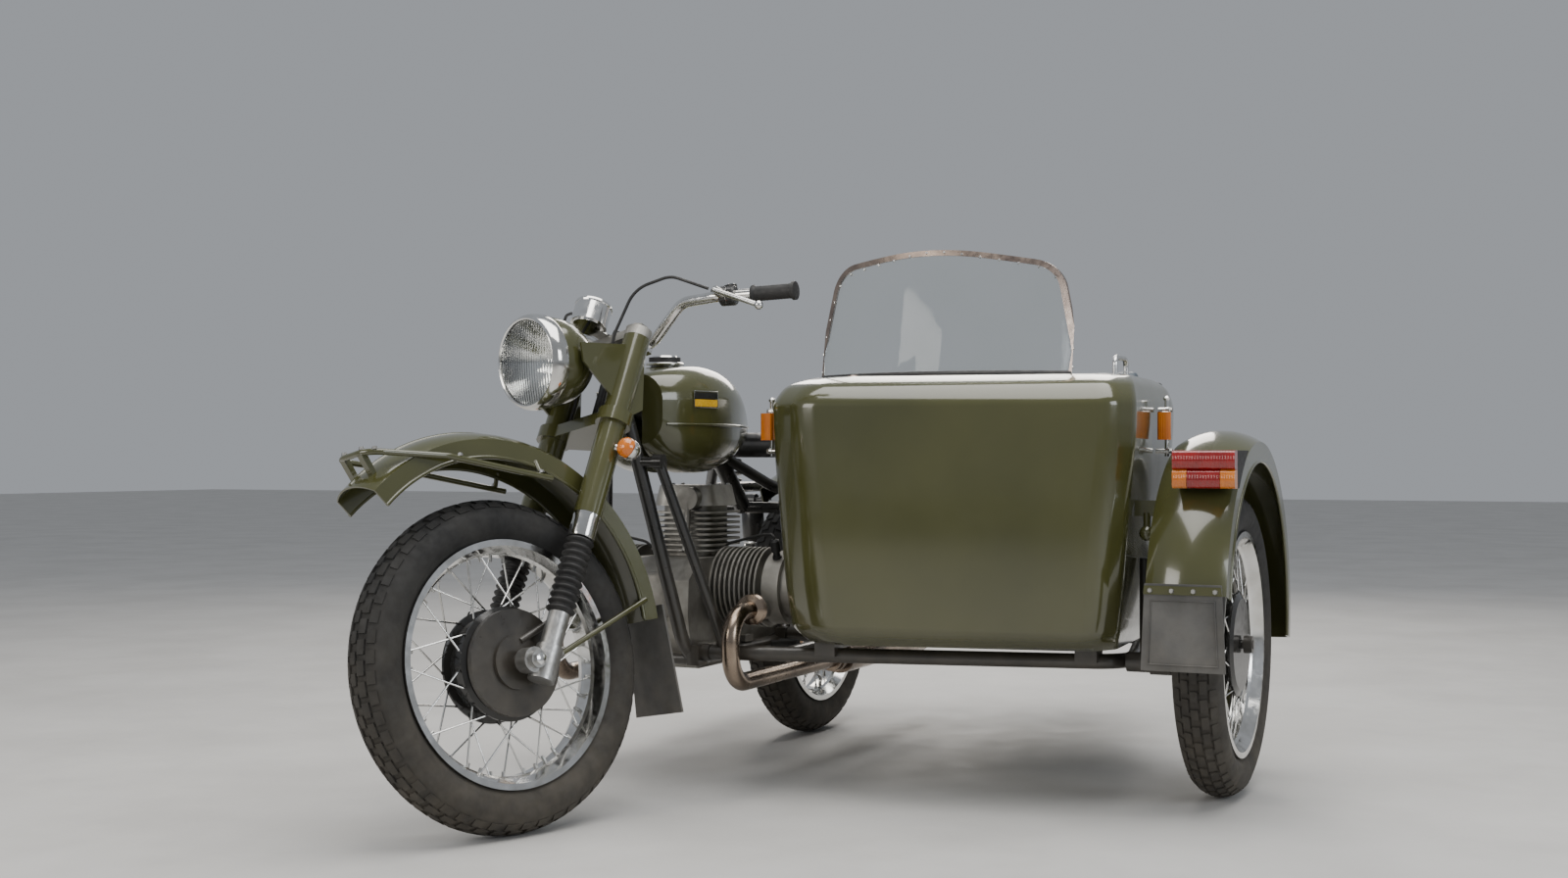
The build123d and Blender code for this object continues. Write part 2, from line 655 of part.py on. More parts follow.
# Finned cylinders: one level on each side and one upright
barrel_x = 740.0
barrel_z = 460.0
fin_r = 95.0
fin_t = 5.0
fin_step = 13.0
barrel_fins = 10
barrel_core_r = 62.0
head_cover_y = 330.0
pipe_y = 235.0
port_z = barrel_z - 45
for side, cylinder_name in ((1, "left_cylinder"), (-1, "right_cylinder")):
    with BuildPart() as cylinder:
        barrel_base = case_half_w + touch
        barrel_end = barrel_base + 22 + barrel_fins * fin_step
        bar(at(barrel_x, side * barrel_base, barrel_z), at(barrel_x, side * barrel_end, barrel_z), barrel_core_r)
        for number in range(barrel_fins):
            fin_y = barrel_base + 18 + number * fin_step
            bar(at(barrel_x, side * fin_y, barrel_z), at(barrel_x, side * (fin_y + fin_t), barrel_z), fin_r)
        bar(at(barrel_x, side * barrel_end, barrel_z), at(barrel_x, side * (barrel_end + 42), barrel_z), fin_r - 8)
        bar(at(barrel_x, side * (barrel_end + 42), barrel_z), at(barrel_x, side * head_cover_y, barrel_z), fin_r - 24)
        bar(at(barrel_x + 30, side * pipe_y, port_z), at(barrel_x + 108, side * pipe_y, port_z), 28)
        bar(at(barrel_x - 60, side * 200, barrel_z + 8), at(barrel_x - 104, side * 200, barrel_z + 8), 24)
    cylinder.part.label = cylinder_name
    export_step(cylinder.part, f"parts/{cylinder_name}.step")

top_x = 690.0
top_fins = 8
top_half_w = 90.0
with BuildPart() as upright_cylinder:
    top_base = case_high + touch
    with BuildSketch(floor_plane(top_base)):
        with Locations((top_x, 0)):
            RectangleRounded(130, 130, 30)
    extrude(amount=18 + top_fins * fin_step)
    for number in range(top_fins):
        with BuildSketch(floor_plane(top_base + 12 + number * fin_step)):
            with Locations((top_x, 0)):
                RectangleRounded(2 * top_half_w, 2 * top_half_w, 34)
        extrude(amount=fin_t)
    with BuildSketch(floor_plane(top_base + 18 + top_fins * fin_step)):
        with Locations((top_x, 0)):
            RectangleRounded(2 * top_half_w - 10, 2 * top_half_w - 10, 40)
    extrude(amount=50, taper=14)
    bar(at(top_x + 60, 30, top_base + 140), at(top_x + 104, 30, top_base + 140), 28)
    tube([at(top_x + 96, 30, top_base + 132), at(top_x + 104, 30, top_base + 60), at(top_x + 120, 34, top_base + 14)],
         8, [60])
upright_cylinder.part.label = "upright_cylinder"
export_step(upright_cylinder.part, "parts/upright_cylinder.step")

# Exhausts: each pipe leaves its barrel forwards, turns down and back and runs into a silencer
pipe_r = 21.0
silencer_r = 42.0
silencer_z = 252.0
for side, exhaust_name in ((1, "left_exhaust"), (-1, "right_exhaust")):
    with BuildPart() as exhaust:
        tube(
            [at(barrel_x + 108 + touch, side * pipe_y, port_z), at(972, side * pipe_y, port_z),
             at(960, side * pipe_y, silencer_z), at(380, side * pipe_y, silencer_z)],
            pipe_r, [70, 70],
        )
        bar(at(400, side * pipe_y, silencer_z), at(340, side * pipe_y, silencer_z), 30)
        bar(at(340, side * pipe_y, silencer_z), at(-230, side * pipe_y, silencer_z), silencer_r)
        bar(at(-230, side * pipe_y, silencer_z), at(-270, side * pipe_y, silencer_z), 24)
        bar(at(barrel_x + 108 + touch, side * pipe_y, port_z), at(barrel_x + 124, side * pipe_y, port_z), 30)
        bar(at(300, side * (pipe_y - 30), silencer_z + 16), at(300, side * 152, rail_z), 7)
        bar(at(296, side * 152, rail_z), at(hanger_x, side * 152, rail_z), 7)
        bar(at(hanger_x, side * (hanger_lug_y + touch), rail_z), at(hanger_x, side * 160, rail_z), 11)
    exhaust.part.label = exhaust_name
    export_step(exhaust.part, f"parts/{exhaust_name}.step")

# Carburettors behind the level barrels
with BuildPart() as carburettors:
    for side in (1, -1):
        bar(at(barrel_x - 104 - touch, side * 200, barrel_z + 8), at(barrel_x - 170, side * 200, barrel_z + 8), 26)
        with BuildSketch(floor_plane(barrel_z - 46)):
            with Locations((barrel_x - 145, side * 200)):
                RectangleRounded(44, 52, 10)
        extrude(amount=120)
        tube([at(barrel_x - 168, side * 200, barrel_z + 8), at(500, side * 192, barrel_z + 2),
              at(480, side * 150, 440), at(480, side * (case_half_w + touch), 440)], 18, [36, 24])
carburettors.part.label = "carburettors"
export_step(carburettors.part, "parts/carburettors.step")

# Tank over the backbone
tank_sections = [
    # x, half width, low, high, corner radius
    (545, 72, 800, 880, 38),
    (700, 128, 752, 968, 70),
    (890, 142, 738, 984, 78),
    (1012, 84, 800, 962, 60),
]
cap_x = 850.0
cap_z = 992.0
backbone_slope = (backbone_front[2] - backbone_bend[2]) / (backbone_front[0] - backbone_bend[0])
backbone_rise = (backbone_r + touch) * (1 + backbone_slope**2) ** 0.5


def backbone_top(x):
    """Height of the seat over the backbone's straight front run."""
    return backbone_bend[2] + (x - backbone_bend[0]) * backbone_slope + backbone_rise


with BuildPart() as tank:
    for x, half_w, low, high, corner in tank_sections:
        with BuildSketch(cross_plane(x)):
            with Locations((0, (low + high) / 2)):
                RectangleRounded(2 * half_w, high - low, corner)
    loft()
    with BuildSketch(floor_plane(cap_z - 40)):
        with Locations((cap_x, 0)):
            Circle(34)
    extrude(amount=40)
    with BuildSketch(side_plane(backbone_r + 8)):
        with BuildLine():
            Polyline((500, 600), (500, backbone_top(500)), (1080, backbone_top(1080)), (1080, 600), close=True)
        make_face()
    extrude(amount=2 * (backbone_r + 8), mode=Mode.SUBTRACT)
tank.part.label = "tank"
export_step(tank.part, "parts/tank.step")

with BuildPart() as tank_cap:
    with BuildSketch(floor_plane(cap_z + touch)):
        with Locations((cap_x, 0)):
            Circle(38)
    extrude(amount=16)
tank_cap.part.label = "tank_cap"
export_step(tank_cap.part, "parts/tank_cap.step")

# Saddles on springs over the seat rails
saddle_table = [
    # name, front, rear, half width, underside, thickness
    ("rider_saddle", 530.0, 235.0, 140.0, 772.0, 66.0),
    ("pillion_saddle", 170.0, -130.0, 125.0, 790.0, 66.0),
]
for saddle_name, front, back, half_w, under, thick in saddle_table:
    with BuildPart() as saddle:
        with BuildSketch(floor_plane(under)):
            with BuildLine():
                Polyline(
                    (front, 46), (front, -46), (back + 110, -half_w), (back, -half_w), (back, half_w),
                    (back + 110, half_w), close=True,
                )
            make_face()
            fillet(vertices(), radius=40)
        extrude(amount=thick)
        fillet(saddle.edges().group_by(Axis.Z)[-1], radius=24)
        for side in (1, -1):
            bar(at(back + 60, side * seat_rail_y, seat_rail_z + 14 + touch), at(back + 60, side * seat_rail_y, under), 16)
    saddle.part.label = saddle_name
    export_step(saddle.part, f"parts/{saddle_name}.step")

# Rear mudguard on one arc, with the lamp and the blank number plate behind
rear_guard_r = 385.0
rear_guard_z = tyre_r + 20
rear_front_deg = 62.0
rear_rear_deg = 192.0
guard_dip = 26.0
rear_guard_axis = at(0, 0, rear_guard_z)
rear_tip = Plane(
    origin=rear_guard_axis, x_dir=(0, 1, 0),
    z_dir=(sin(radians(rear_front_deg)), 0, -cos(radians(rear_front_deg))),
)
with BuildPart() as rear_mudguard:
    with BuildSketch(rear_tip):
        with BuildLine():
            half = rear_guard_half_w
            thin = half - guard_metal
            Line((-half, rear_guard_r - 75), (-half, rear_guard_r - guard_dip))
            ThreePointArc((-half, rear_guard_r - guard_dip), (0, rear_guard_r), (half, rear_guard_r - guard_dip))
            Line((half, rear_guard_r - guard_dip), (half, rear_guard_r - 75))
            Line((half, rear_guard_r - 75), (thin, rear_guard_r - 75))
            Line((thin, rear_guard_r - 75), (thin, rear_guard_r - guard_dip))
            ThreePointArc(
                (thin, rear_guard_r - guard_dip), (0, rear_guard_r - guard_metal), (-thin, rear_guard_r - guard_dip),
            )
            Line((-thin, rear_guard_r - guard_dip), (-thin, rear_guard_r - 75))
            Line((-thin, rear_guard_r - 75), (-half, rear_guard_r - 75))
        make_face()
    revolve(axis=Axis(rear_guard_axis, (0, -1, 0)), revolution_arc=rear_rear_deg - rear_front_deg)
rear_mudguard.part.label = "rear_mudguard"
export_step(rear_mudguard.part, "parts/rear_mudguard.step")

rear_lamp_z = 560.0
lamp_seat_x = -((rear_guard_r**2 - (rear_lamp_z - rear_guard_z - 32) ** 2) ** 0.5)
with BuildPart() as rear_lamp:
    bar(at(lamp_seat_x - touch, 0, rear_lamp_z), at(lamp_seat_x - 62, 0, rear_lamp_z), 32)
    with BuildSketch(cross_plane(-rear_guard_r - 8)):
        with Locations((0, rear_lamp_z - 100)):
            Rectangle(190, 150)
    extrude(amount=4)
rear_lamp.part.label = "rear_lamp"
export_step(rear_lamp.part, "parts/rear_lamp.step")

# Footrests and pedals beside the cradle
with BuildPart() as footrests:
    for side in (1, -1):
        bar(at(520, side * (rail_y2 + rail_r + touch), rail_z), at(520, side * 190, rail_z), 9)
        bar(at(520, side * 150, rail_z), at(520, side * 200, rail_z), 14)
footrests.part.label = "footrests"
export_step(footrests.part, "parts/footrests.step")

# Sidecar chassis: a loop of tube under the body with its mounts to the frame
body_in = 300.0
body_out = track - 115
loop_r = 17.0
loop_z = 318.0
inner_rail_y = body_in + 35
outer_rail_y = body_out - 43
body_low = 352.0
side_arm_y = track - 94
damper_x = 610.0
side_damper_top = 540.0
pivot_lug_x = 690.0
post_y = side_arm_y - 38
rear_stay_x = 180.0
rear_stay_y = body_out - 107
with BuildPart() as sidecar_chassis:
    tube(
        [at(918, lug_face_y + 8, loop_z), at(700, outer_rail_y, loop_z), at(-330, outer_rail_y - 202, loop_z),
         at(-330, inner_rail_y, loop_z),
         at(850, inner_rail_y, loop_z)],
        loop_r, [90, 90, 90],
    )
    bar(at(840, inner_rail_y, loop_z), at(868, inner_rail_y, loop_z), loop_r)
    bar(at(side_mount_x[1], lug_face_y + touch, loop_z), at(side_mount_x[1], inner_rail_y, loop_z), loop_r)
    bar(at(150, inner_rail_y, loop_z), at(150, outer_rail_y - 107, loop_z), loop_r)
    bar(at(919, lug_face_y + touch, loop_z), at(919, lug_face_y + 20, loop_z), 20)
    for foot, lug_x, lug_y, lug_z in (
        (at(908, 196, loop_z), 1051, strut_lug_y[0], 760), (at(110, inner_rail_y, loop_z), 342, strut_lug_y[1], 600),
    ):
        bar(foot, at(lug_x, lug_y + 12, lug_z), 12)
        bar(at(lug_x, lug_y + touch, lug_z), at(lug_x, lug_y + 24, lug_z), 17)
    for pad_x, pad_y in ((854, body_in + 130), (721, body_out - 135), (150, body_in + 130), (150, body_out - 235)):
        with BuildSketch(floor_plane(loop_z)):
            with Locations((pad_x, pad_y)):
                Rectangle(50, 50)
        extrude(amount=body_low - loop_z - touch)
    bar(at(rear_stay_x, outer_rail_y - 107, loop_z), at(rear_stay_x, rear_stay_y, loop_z), 12)
    bar(at(pivot_lug_x, post_y, loop_z), at(pivot_lug_x, post_y, side_damper_top + 8), 11)
    bar(at(pivot_lug_x, post_y, side_damper_top), at(damper_x + 18, side_arm_y, side_damper_top), 9)
    bar(at(pivot_lug_x, outer_rail_y - 12, loop_z), at(pivot_lug_x, side_arm_y - 24, loop_z), 22)
sidecar_chassis.part.label = "sidecar_chassis"
export_step(sidecar_chassis.part, "parts/sidecar_chassis.step")

# Trailing arm of the sidecar wheel with its knuckle, stub axle and brake plate
with BuildPart() as wheel_knuckle:
    bar(at(pivot_lug_x, side_arm_y - 24 + touch, loop_z), at(pivot_lug_x, side_arm_y + 22, loop_z), 26)
    bar(at(pivot_lug_x, side_arm_y, loop_z), at(side_lead, side_arm_y, tyre_r), 18)
    bar(at(side_lead, side_arm_y - 30, tyre_r), at(side_lead, side_arm_y + 22, tyre_r), 34)
    bar(at(side_lead, side_arm_y - 30, tyre_r), at(side_lead, track + hub_half_w + 26, tyre_r), axle_r)
    plate_in = track - hub_half_w - clear - plate_t
    bar(at(side_lead, plate_in, tyre_r), at(side_lead, plate_in + plate_t, tyre_r), drum_r + 6)
    bar(at(side_lead, track + hub_half_w + clear, tyre_r), at(side_lead, track + hub_half_w + 24, tyre_r), 20)
wheel_knuckle.part.label = "wheel_knuckle"
export_step(wheel_knuckle.part, "parts/wheel_knuckle.step")

# Rubber bellows over the damper between the arm and its post
with BuildPart() as damper_bellows:
    share = (pivot_lug_x - damper_x) / (pivot_lug_x - side_lead)
    bellows_low = loop_z + (tyre_r - loop_z) * share + 18 + 4
    bellows_step = (side_damper_top - 11 - touch - bellows_low) / 9
    bar(at(damper_x, side_arm_y, bellows_low), at(damper_x, side_arm_y, side_damper_top + 14), 14)
    for rib in range(9):
        rib_z = bellows_low + rib * bellows_step
        bar(at(damper_x, side_arm_y, rib_z), at(damper_x, side_arm_y, rib_z + bellows_step * 0.6), 24)
damper_bellows.part.label = "damper_bellows"
export_step(damper_bellows.part, "parts/damper_bellows.step")

# Sidecar body: a stack of plan outlines, each drawn in from the widest one
body_plan = [
    # x, y, corner radius, nose share, side (+1 inner wall, -1 outer wall), tail share
    (-600, body_in + 120, 120, 0, 1, 1),
    (640, body_in, 400, 0, 1, 0),
    (955, body_in + 25, 85, 1, 1, 0),
    (1015, body_in + 130, 105, 1, 1, 0),
    (905, body_out - 35, 65, 1, -1, 0),
    (840, body_out, 60, 1, -1, 0),
    (380, body_out - 20, 500, 0, -1, 0),
    (-600, body_out - 255, 140, 0, -1, 1),
]
body_levels = [
    # height, nose, sides and tail drawn in by
    (body_low, 70, 60, 60),
    (400, 14, 40, 20),
    (640, 0, 18, 8),
    (880, 0, 0, 0),
    (925, 30, 12, 25),
    (952, 120, 45, 60),
]
wall = 10.0
deck_z = body_levels[-1][0]
bulkhead_x = -60.0
boot_slope_z = 790.0


def body_outline(nose, side_in, tail):
    """Adds the sidecar's plan outline, drawn in at its nose, sides and tail, to a sketch."""
    corners = []
    bends = []
    for x, y, corner, nose_share, side, tail_share in body_plan:
        corners.append((x - nose * nose_share + tail * tail_share, y + side * side_in))
        bends.append(corner)
    with BuildLine() as edge:
        FilletPolyline(*corners, radius=bends, close=True)
    make_face(edge.edges())


def side_wall(x, z, outer):
    """Where the inner or outer wall stands, along its straight front half, at its upper band."""
    low, high = body_levels[2], body_levels[3]
    inset = low[2] + (high[2] - low[2]) * (z - low[0]) / (high[0] - low[0])
    front, middle = (body_plan[5], body_plan[6]) if outer else (body_plan[2], body_plan[1])
    straight = front[1] + (middle[1] - front[1]) * (front[0] - x) / (front[0] - middle[0])
    return straight - inset if outer else straight + inset


def slope_cut(lift):
    """Sketches, seen from the side, all that lies above the tail's sloping deck."""
    with BuildLine() as edge:
        Polyline(
            (slope_x, deck_z + lift), (-700, boot_slope_z - slope_fall + lift), (-700, 1200), (slope_x, 1200),
            close=True,
        )
    make_face(edge.edges())


opening_x = (30.0, 600.0)
opening_y = (body_in + 82, body_out - 125)
lid_x = (-470.0, -110.0)
lid_y = (body_in + 178, body_out - 283)
lid_lap = 14.0
lid_t = 10.0
slope_x = -20.0
slope_fall = 30.0
body_half = 1000.0

with BuildPart() as sidecar_body:
    for z, nose, side_in, tail in body_levels:
        with BuildSketch(floor_plane(z)):
            body_outline(nose, side_in, tail)
    loft(ruled=True)
    with BuildSketch(side_plane(1400)):
        slope_cut(0)
    extrude(amount=1400, mode=Mode.SUBTRACT)

with BuildPart() as body_hollow:
    for number, (z, nose, side_in, tail) in enumerate(body_levels):
        lift = wall if number == 0 else -wall if number == len(body_levels) - 1 else 0
        with BuildSketch(floor_plane(z + lift)):
            body_outline(nose + wall, side_in + wall, tail + wall)
    loft(ruled=True)
    with BuildSketch(side_plane(1400)):
        slope_cut(-wall)
    extrude(amount=1400, mode=Mode.SUBTRACT)
    with BuildSketch(cross_plane(bulkhead_x)):
        with Locations((700, 700)):
            Rectangle(1400, 900)
    extrude(amount=wall, mode=Mode.SUBTRACT)

lid_slope = (deck_z - boot_slope_z + slope_fall) / (slope_x + 700)
lid_turn_deg = degrees(atan(lid_slope))
lid_plane = Plane(
    origin=at(slope_x, 0, deck_z), x_dir=(1, 0, lid_slope), z_dir=(-lid_slope, 0, 1),
)
lid_mid = ((lid_x[0] + lid_x[1]) / 2, (lid_y[0] + lid_y[1]) / 2)
lid_size = (lid_x[1] - lid_x[0], lid_y[1] - lid_y[0])
hinge_r = 6.0
pin_r = 2.5
knuckle_half = 11.0
hinge_lift = hinge_r + 1
hinge_x = lid_x[1] - slope_x + 8
hinge_places = (lid_y[0] + 70, lid_y[1] - 70)


def on_slope(y):
    """A place on the boot lid's hinge line."""
    return lid_plane.from_local_coords(Vector(hinge_x, y, hinge_lift))


with BuildPart() as tub:
    add(sidecar_body.part)
    add(body_hollow.part, mode=Mode.SUBTRACT)
    with BuildSketch(floor_plane(deck_z - 60)):
        with Locations(((opening_x[0] + opening_x[1]) / 2, (opening_y[0] + opening_y[1]) / 2)):
            RectangleRounded(opening_x[1] - opening_x[0], opening_y[1] - opening_y[0], 60)
    extrude(amount=120, mode=Mode.SUBTRACT)
    with BuildSketch(lid_plane.offset(-40)):
        with Locations((lid_mid[0] - slope_x, lid_mid[1])):
            RectangleRounded(lid_size[0] - 2 * lid_lap, lid_size[1] - 2 * lid_lap, 40)
    extrude(amount=80, mode=Mode.SUBTRACT)
    for hinge_y in hinge_places:
        bar(on_slope(hinge_y - knuckle_half - 12), on_slope(hinge_y + knuckle_half + 12), pin_r)
        for side in (1, -1):
            inner_face = hinge_y + side * (knuckle_half + touch)
            bar(on_slope(inner_face), on_slope(inner_face + side * 12), hinge_r)
            with BuildSketch(lid_plane.offset(-3)):
                with Locations((hinge_x, inner_face + side * 6)):
                    Rectangle(2 * hinge_r, 12)
            extrude(amount=hinge_lift + 3)
tub.part.label = "sidecar_body"
export_step(tub.part, "parts/sidecar_body.step")

with BuildPart() as boot_lid:
    with BuildSketch(lid_plane.offset(touch)):
        with Locations((lid_mid[0] - slope_x, lid_mid[1])):
            RectangleRounded(lid_size[0], lid_size[1], 50)
    extrude(amount=lid_t)
    for hinge_y in hinge_places:
        with BuildSketch(lid_plane.offset(hinge_lift - 3)):
            with Locations((hinge_x - 8, hinge_y)):
                Rectangle(16, 2 * knuckle_half)
        extrude(amount=6)
        bar(on_slope(hinge_y - knuckle_half), on_slope(hinge_y + knuckle_half), hinge_r)
        bore(on_slope(hinge_y - knuckle_half), on_slope(hinge_y + knuckle_half), pin_r + running)
boot_lid.part.label = "boot_lid"
export_step(boot_lid.part, "parts/boot_lid.step")

# Sidecar seat: cushion on the floor and a high backrest
seat_y = (body_in + 124, body_out - 167)
cushion_back = 160.0
cushion_front = 560.0
with BuildPart() as sidecar_seat:
    with BuildSketch(floor_plane(body_low + wall + touch)):
        with Locations(((cushion_back + cushion_front) / 2, (seat_y[0] + seat_y[1]) / 2)):
            RectangleRounded(cushion_front - cushion_back, seat_y[1] - seat_y[0], 50)
    extrude(amount=190)
    fillet(sidecar_seat.edges().group_by(Axis.Z)[-1], radius=30)
sidecar_seat.part.label = "sidecar_seat"
export_step(sidecar_seat.part, "parts/sidecar_seat.step")

back_y = (body_in + 124, body_out - 157)
with BuildPart() as sidecar_backrest:
    with BuildSketch(side_plane(back_y[1])):
        with BuildLine():
            Polyline(
                (cushion_back - touch, 450), (70, 450), (70, 1006), (140, 1006), (cushion_back - 2, 900),
                (cushion_back - touch, 640), close=True,
            )
        make_face()
        fillet(vertices(), radius=24)
    extrude(amount=back_y[1] - back_y[0])
sidecar_backrest.part.label = "sidecar_backrest"
export_step(sidecar_backrest.part, "parts/sidecar_backrest.step")

# Windscreen: curved glass in a metal frame, leaning back over the deck
screen_lean_deg = 12.0
screen_high = 305.0
glass_t = 4.0
frame_t = 9.0
frame_w = 13.0
screen_left = (672.0, body_in + 38)
screen_mid = (775.0, (body_in + body_out) / 2 - 78)
screen_right = (668.0, body_out - 191)
screen_foot = Plane(
    origin=at(0, 0, deck_z + touch), x_dir=(1, 0, 0), z_dir=(0, 0, 1),
)
lean_tan = tan(radians(screen_lean_deg))


def screen_band(thick, high):
    """Adds a curved upright band of the windscreen's plan, centred on its arc."""
    half = thick / 2
    with BuildSketch(screen_foot) as plan:
        with BuildLine() as edge:
            outer = ThreePointArc(
                (screen_left[0] + half, screen_left[1] - half), (screen_mid[0] + half, screen_mid[1]),
                (screen_right[0] + half, screen_right[1] + half),
            )
            inner = ThreePointArc(
                (screen_left[0] - half, screen_left[1] + half), (screen_mid[0] - half, screen_mid[1]),
                (screen_right[0] - half, screen_right[1] - half),
            )
            Line(outer @ 0, inner @ 0)
            Line(outer @ 1, inner @ 1)
        make_face(edge.edges())
    extrude(to_extrude=plan.sketch, amount=high, dir=(-lean_tan, 0, 1))


screen_front = [
    # left, height over the deck, corner radius
    (body_in + 30, -20.0, 5), (body_in + 22, 60.0, 60), (body_in + 62, 272.0, 78), (screen_mid[1], 305.0, 900),
    (body_out - 217, 262.0, 78), (body_out - 175, 60.0, 60), (body_out - 183, -20.0, 5),
]


def screen_shape(inset):
    """Sketches the windscreen seen from ahead, drawn in by an inset all round."""
    with BuildSketch(cross_plane(500)) as shape:
        with BuildLine() as edge:
            FilletPolyline(
                *[(left, deck_z + high) for left, high, corner in screen_front],
                radius=[corner for left, high, corner in screen_front], close=True,
            )
        make_face(edge.edges())
        if inset:
            offset(amount=-inset, kind=Kind.INTERSECTION)
    return shape.sketch


with BuildPart() as windscreen_frame:
    screen_band(frame_t, screen_high + 20)
    extrude(to_extrude=screen_shape(0), amount=500, mode=Mode.INTERSECT)
    extrude(to_extrude=screen_shape(frame_w), amount=500, mode=Mode.SUBTRACT)
windscreen_frame.part.label = "windscreen_frame"
export_step(windscreen_frame.part, "parts/windscreen_frame.step")
with BuildPart() as windscreen_glass:
    screen_band(glass_t, screen_high + 20)
    extrude(to_extrude=screen_shape(frame_w + touch), amount=500, mode=Mode.INTERSECT)
windscreen_glass.part.label = "windscreen_glass"
export_step(windscreen_glass.part, "parts/windscreen_glass.step")

# Grab handle on the outer strip of the deck
with BuildPart() as grab_handle:
    handle_y = body_out - 95
    tube(
        [at(640, handle_y, deck_z + touch), at(640, handle_y, deck_z + 44), at(540, handle_y, deck_z + 44),
         at(540, handle_y, deck_z + touch)],
        6, [18, 18],
    )
grab_handle.part.label = "grab_handle"
export_step(grab_handle.part, "parts/grab_handle.step")

# Sidecar mudguard on one arc over its wheel, with stay, lamp and rear flap
side_guard_r = 432.0
side_guard_dx = 24.0
side_guard_dz = 54.0
side_guard_half_w = 84.0
side_front_deg = 12.0
side_rear_deg = 190.0
side_guard_y = track + 2
side_guard_axis = at(side_lead + side_guard_dx, side_guard_y, tyre_r + side_guard_dz)
side_tip = Plane(
    origin=side_guard_axis, x_dir=(0, 1, 0),
    z_dir=(sin(radians(side_front_deg)), 0, -cos(radians(side_front_deg))),
)
stay_x = 772.0
stay_z = 660.0
stay_high = 34.0
stay_clear = 0.7
ball_y = 1144.0
ball_z = 606.0
with BuildPart() as sidecar_mudguard:
    with BuildSketch(side_tip):
        with BuildLine():
            half = side_guard_half_w
            thin = half - guard_metal
            Line((-half, side_guard_r - 70), (-half, side_guard_r - guard_dip))
            ThreePointArc((-half, side_guard_r - guard_dip), (0, side_guard_r), (half, side_guard_r - guard_dip))
            Line((half, side_guard_r - guard_dip), (half, side_guard_r - 70))
            Line((half, side_guard_r - 70), (thin, side_guard_r - 70))
            Line((thin, side_guard_r - 70), (thin, side_guard_r - guard_dip))
            ThreePointArc(
                (thin, side_guard_r - guard_dip), (0, side_guard_r - guard_metal), (-thin, side_guard_r - guard_dip),
            )
            Line((-thin, side_guard_r - guard_dip), (-thin, side_guard_r - 70))
            Line((-thin, side_guard_r - 70), (-half, side_guard_r - 70))
        make_face()
    revolve(axis=Axis(side_guard_axis, (0, -1, 0)), revolution_arc=side_rear_deg - side_front_deg)
    guard_inner_y = side_guard_y - side_guard_half_w
    stay_wall_y = side_wall(stay_x, stay_z + stay_high / 2, True) + stay_clear
    with BuildSketch(cross_plane(stay_x)):
        with Locations(((stay_wall_y + guard_inner_y + 2) / 2, stay_z)):
            Rectangle(guard_inner_y + 2 - stay_wall_y, stay_high)
    extrude(amount=7)
    bar(at(stay_x + 3, ball_y, stay_z - 10), at(stay_x + 3, ball_y, ball_z), 8)
    with Locations(at(stay_x + 3, ball_y, ball_z)):
        Sphere(17)
    bar(at(rear_stay_x, guard_inner_y + 2, 545), at(rear_stay_x, rear_stay_y + 10, loop_z), 8)
    bar(at(rear_stay_x, rear_stay_y + touch, loop_z), at(rear_stay_x, rear_stay_y + 18, loop_z), 14)
sidecar_mudguard.part.label = "sidecar_mudguard"
export_step(sidecar_mudguard.part, "parts/sidecar_mudguard.step")

side_guard_top = tyre_r + side_guard_dz + side_guard_r
side_flap_x = side_lead + side_guard_dx + side_guard_r * cos(radians(side_front_deg)) + touch
side_flap_top = tyre_r + side_guard_dz + side_guard_r * sin(radians(side_front_deg))
with BuildPart() as sidecar_mudflap:
    with BuildSketch(cross_plane(side_flap_x)):
        with BuildLine():
            Polyline(
                (side_guard_y - 78, side_flap_top + 20), (side_guard_y + 80, side_flap_top + 20),
                (side_guard_y + 88, side_flap_top - 160), (side_guard_y - 86, side_flap_top - 160), close=True,
            )
        make_face()
    extrude(amount=flap_t)
sidecar_mudflap.part.label = "sidecar_mudflap"
export_step(sidecar_mudflap.part, "parts/sidecar_mudflap.step")

# Lamps of the sidecar: one at each side of the nose and one on the mudguard
lamp_rod_z = (772.0, 900.0)
lamp_height = 840.0
rod_reach = 27.0
with BuildPart() as sidecar_lamps:
    for rod_x, outer in ((870, False), (604, True)):
        way_out = 1 if outer else -1
        rod_y = side_wall(rod_x, lamp_height, outer) + way_out * rod_reach
        bar(at(rod_x, rod_y, lamp_rod_z[0]), at(rod_x, rod_y, lamp_rod_z[1]), 5)
        bar(at(rod_x - 4, rod_y, lamp_height), at(rod_x + 28, rod_y, lamp_height), 20)
        for bolt_z in (lamp_rod_z[0] + 12, lamp_rod_z[1] - 24):
            bolt_end = side_wall(rod_x, bolt_z, outer) + way_out * 3 * touch
            bar(at(rod_x, rod_y, bolt_z), at(rod_x, bolt_end, bolt_z), 6)
    with BuildSketch(side_plane(side_guard_y + 96)):
        with BuildLine():
            seat_arc = [
                (side_lead + side_guard_dx + (side_guard_r + touch) * cos(radians(angle)),
                 tyre_r + side_guard_dz + (side_guard_r + touch) * sin(radians(angle)))
                for angle in (45, 54, 63)
            ]
            ThreePointArc(*seat_arc)
            Polyline(seat_arc[2], (862, seat_arc[2][1]), (862, seat_arc[0][1]), seat_arc[0])
        make_face()
    extrude(amount=132)
sidecar_lamps.part.label = "sidecar_lamps"
export_step(sidecar_lamps.part, "parts/sidecar_lamps.step")

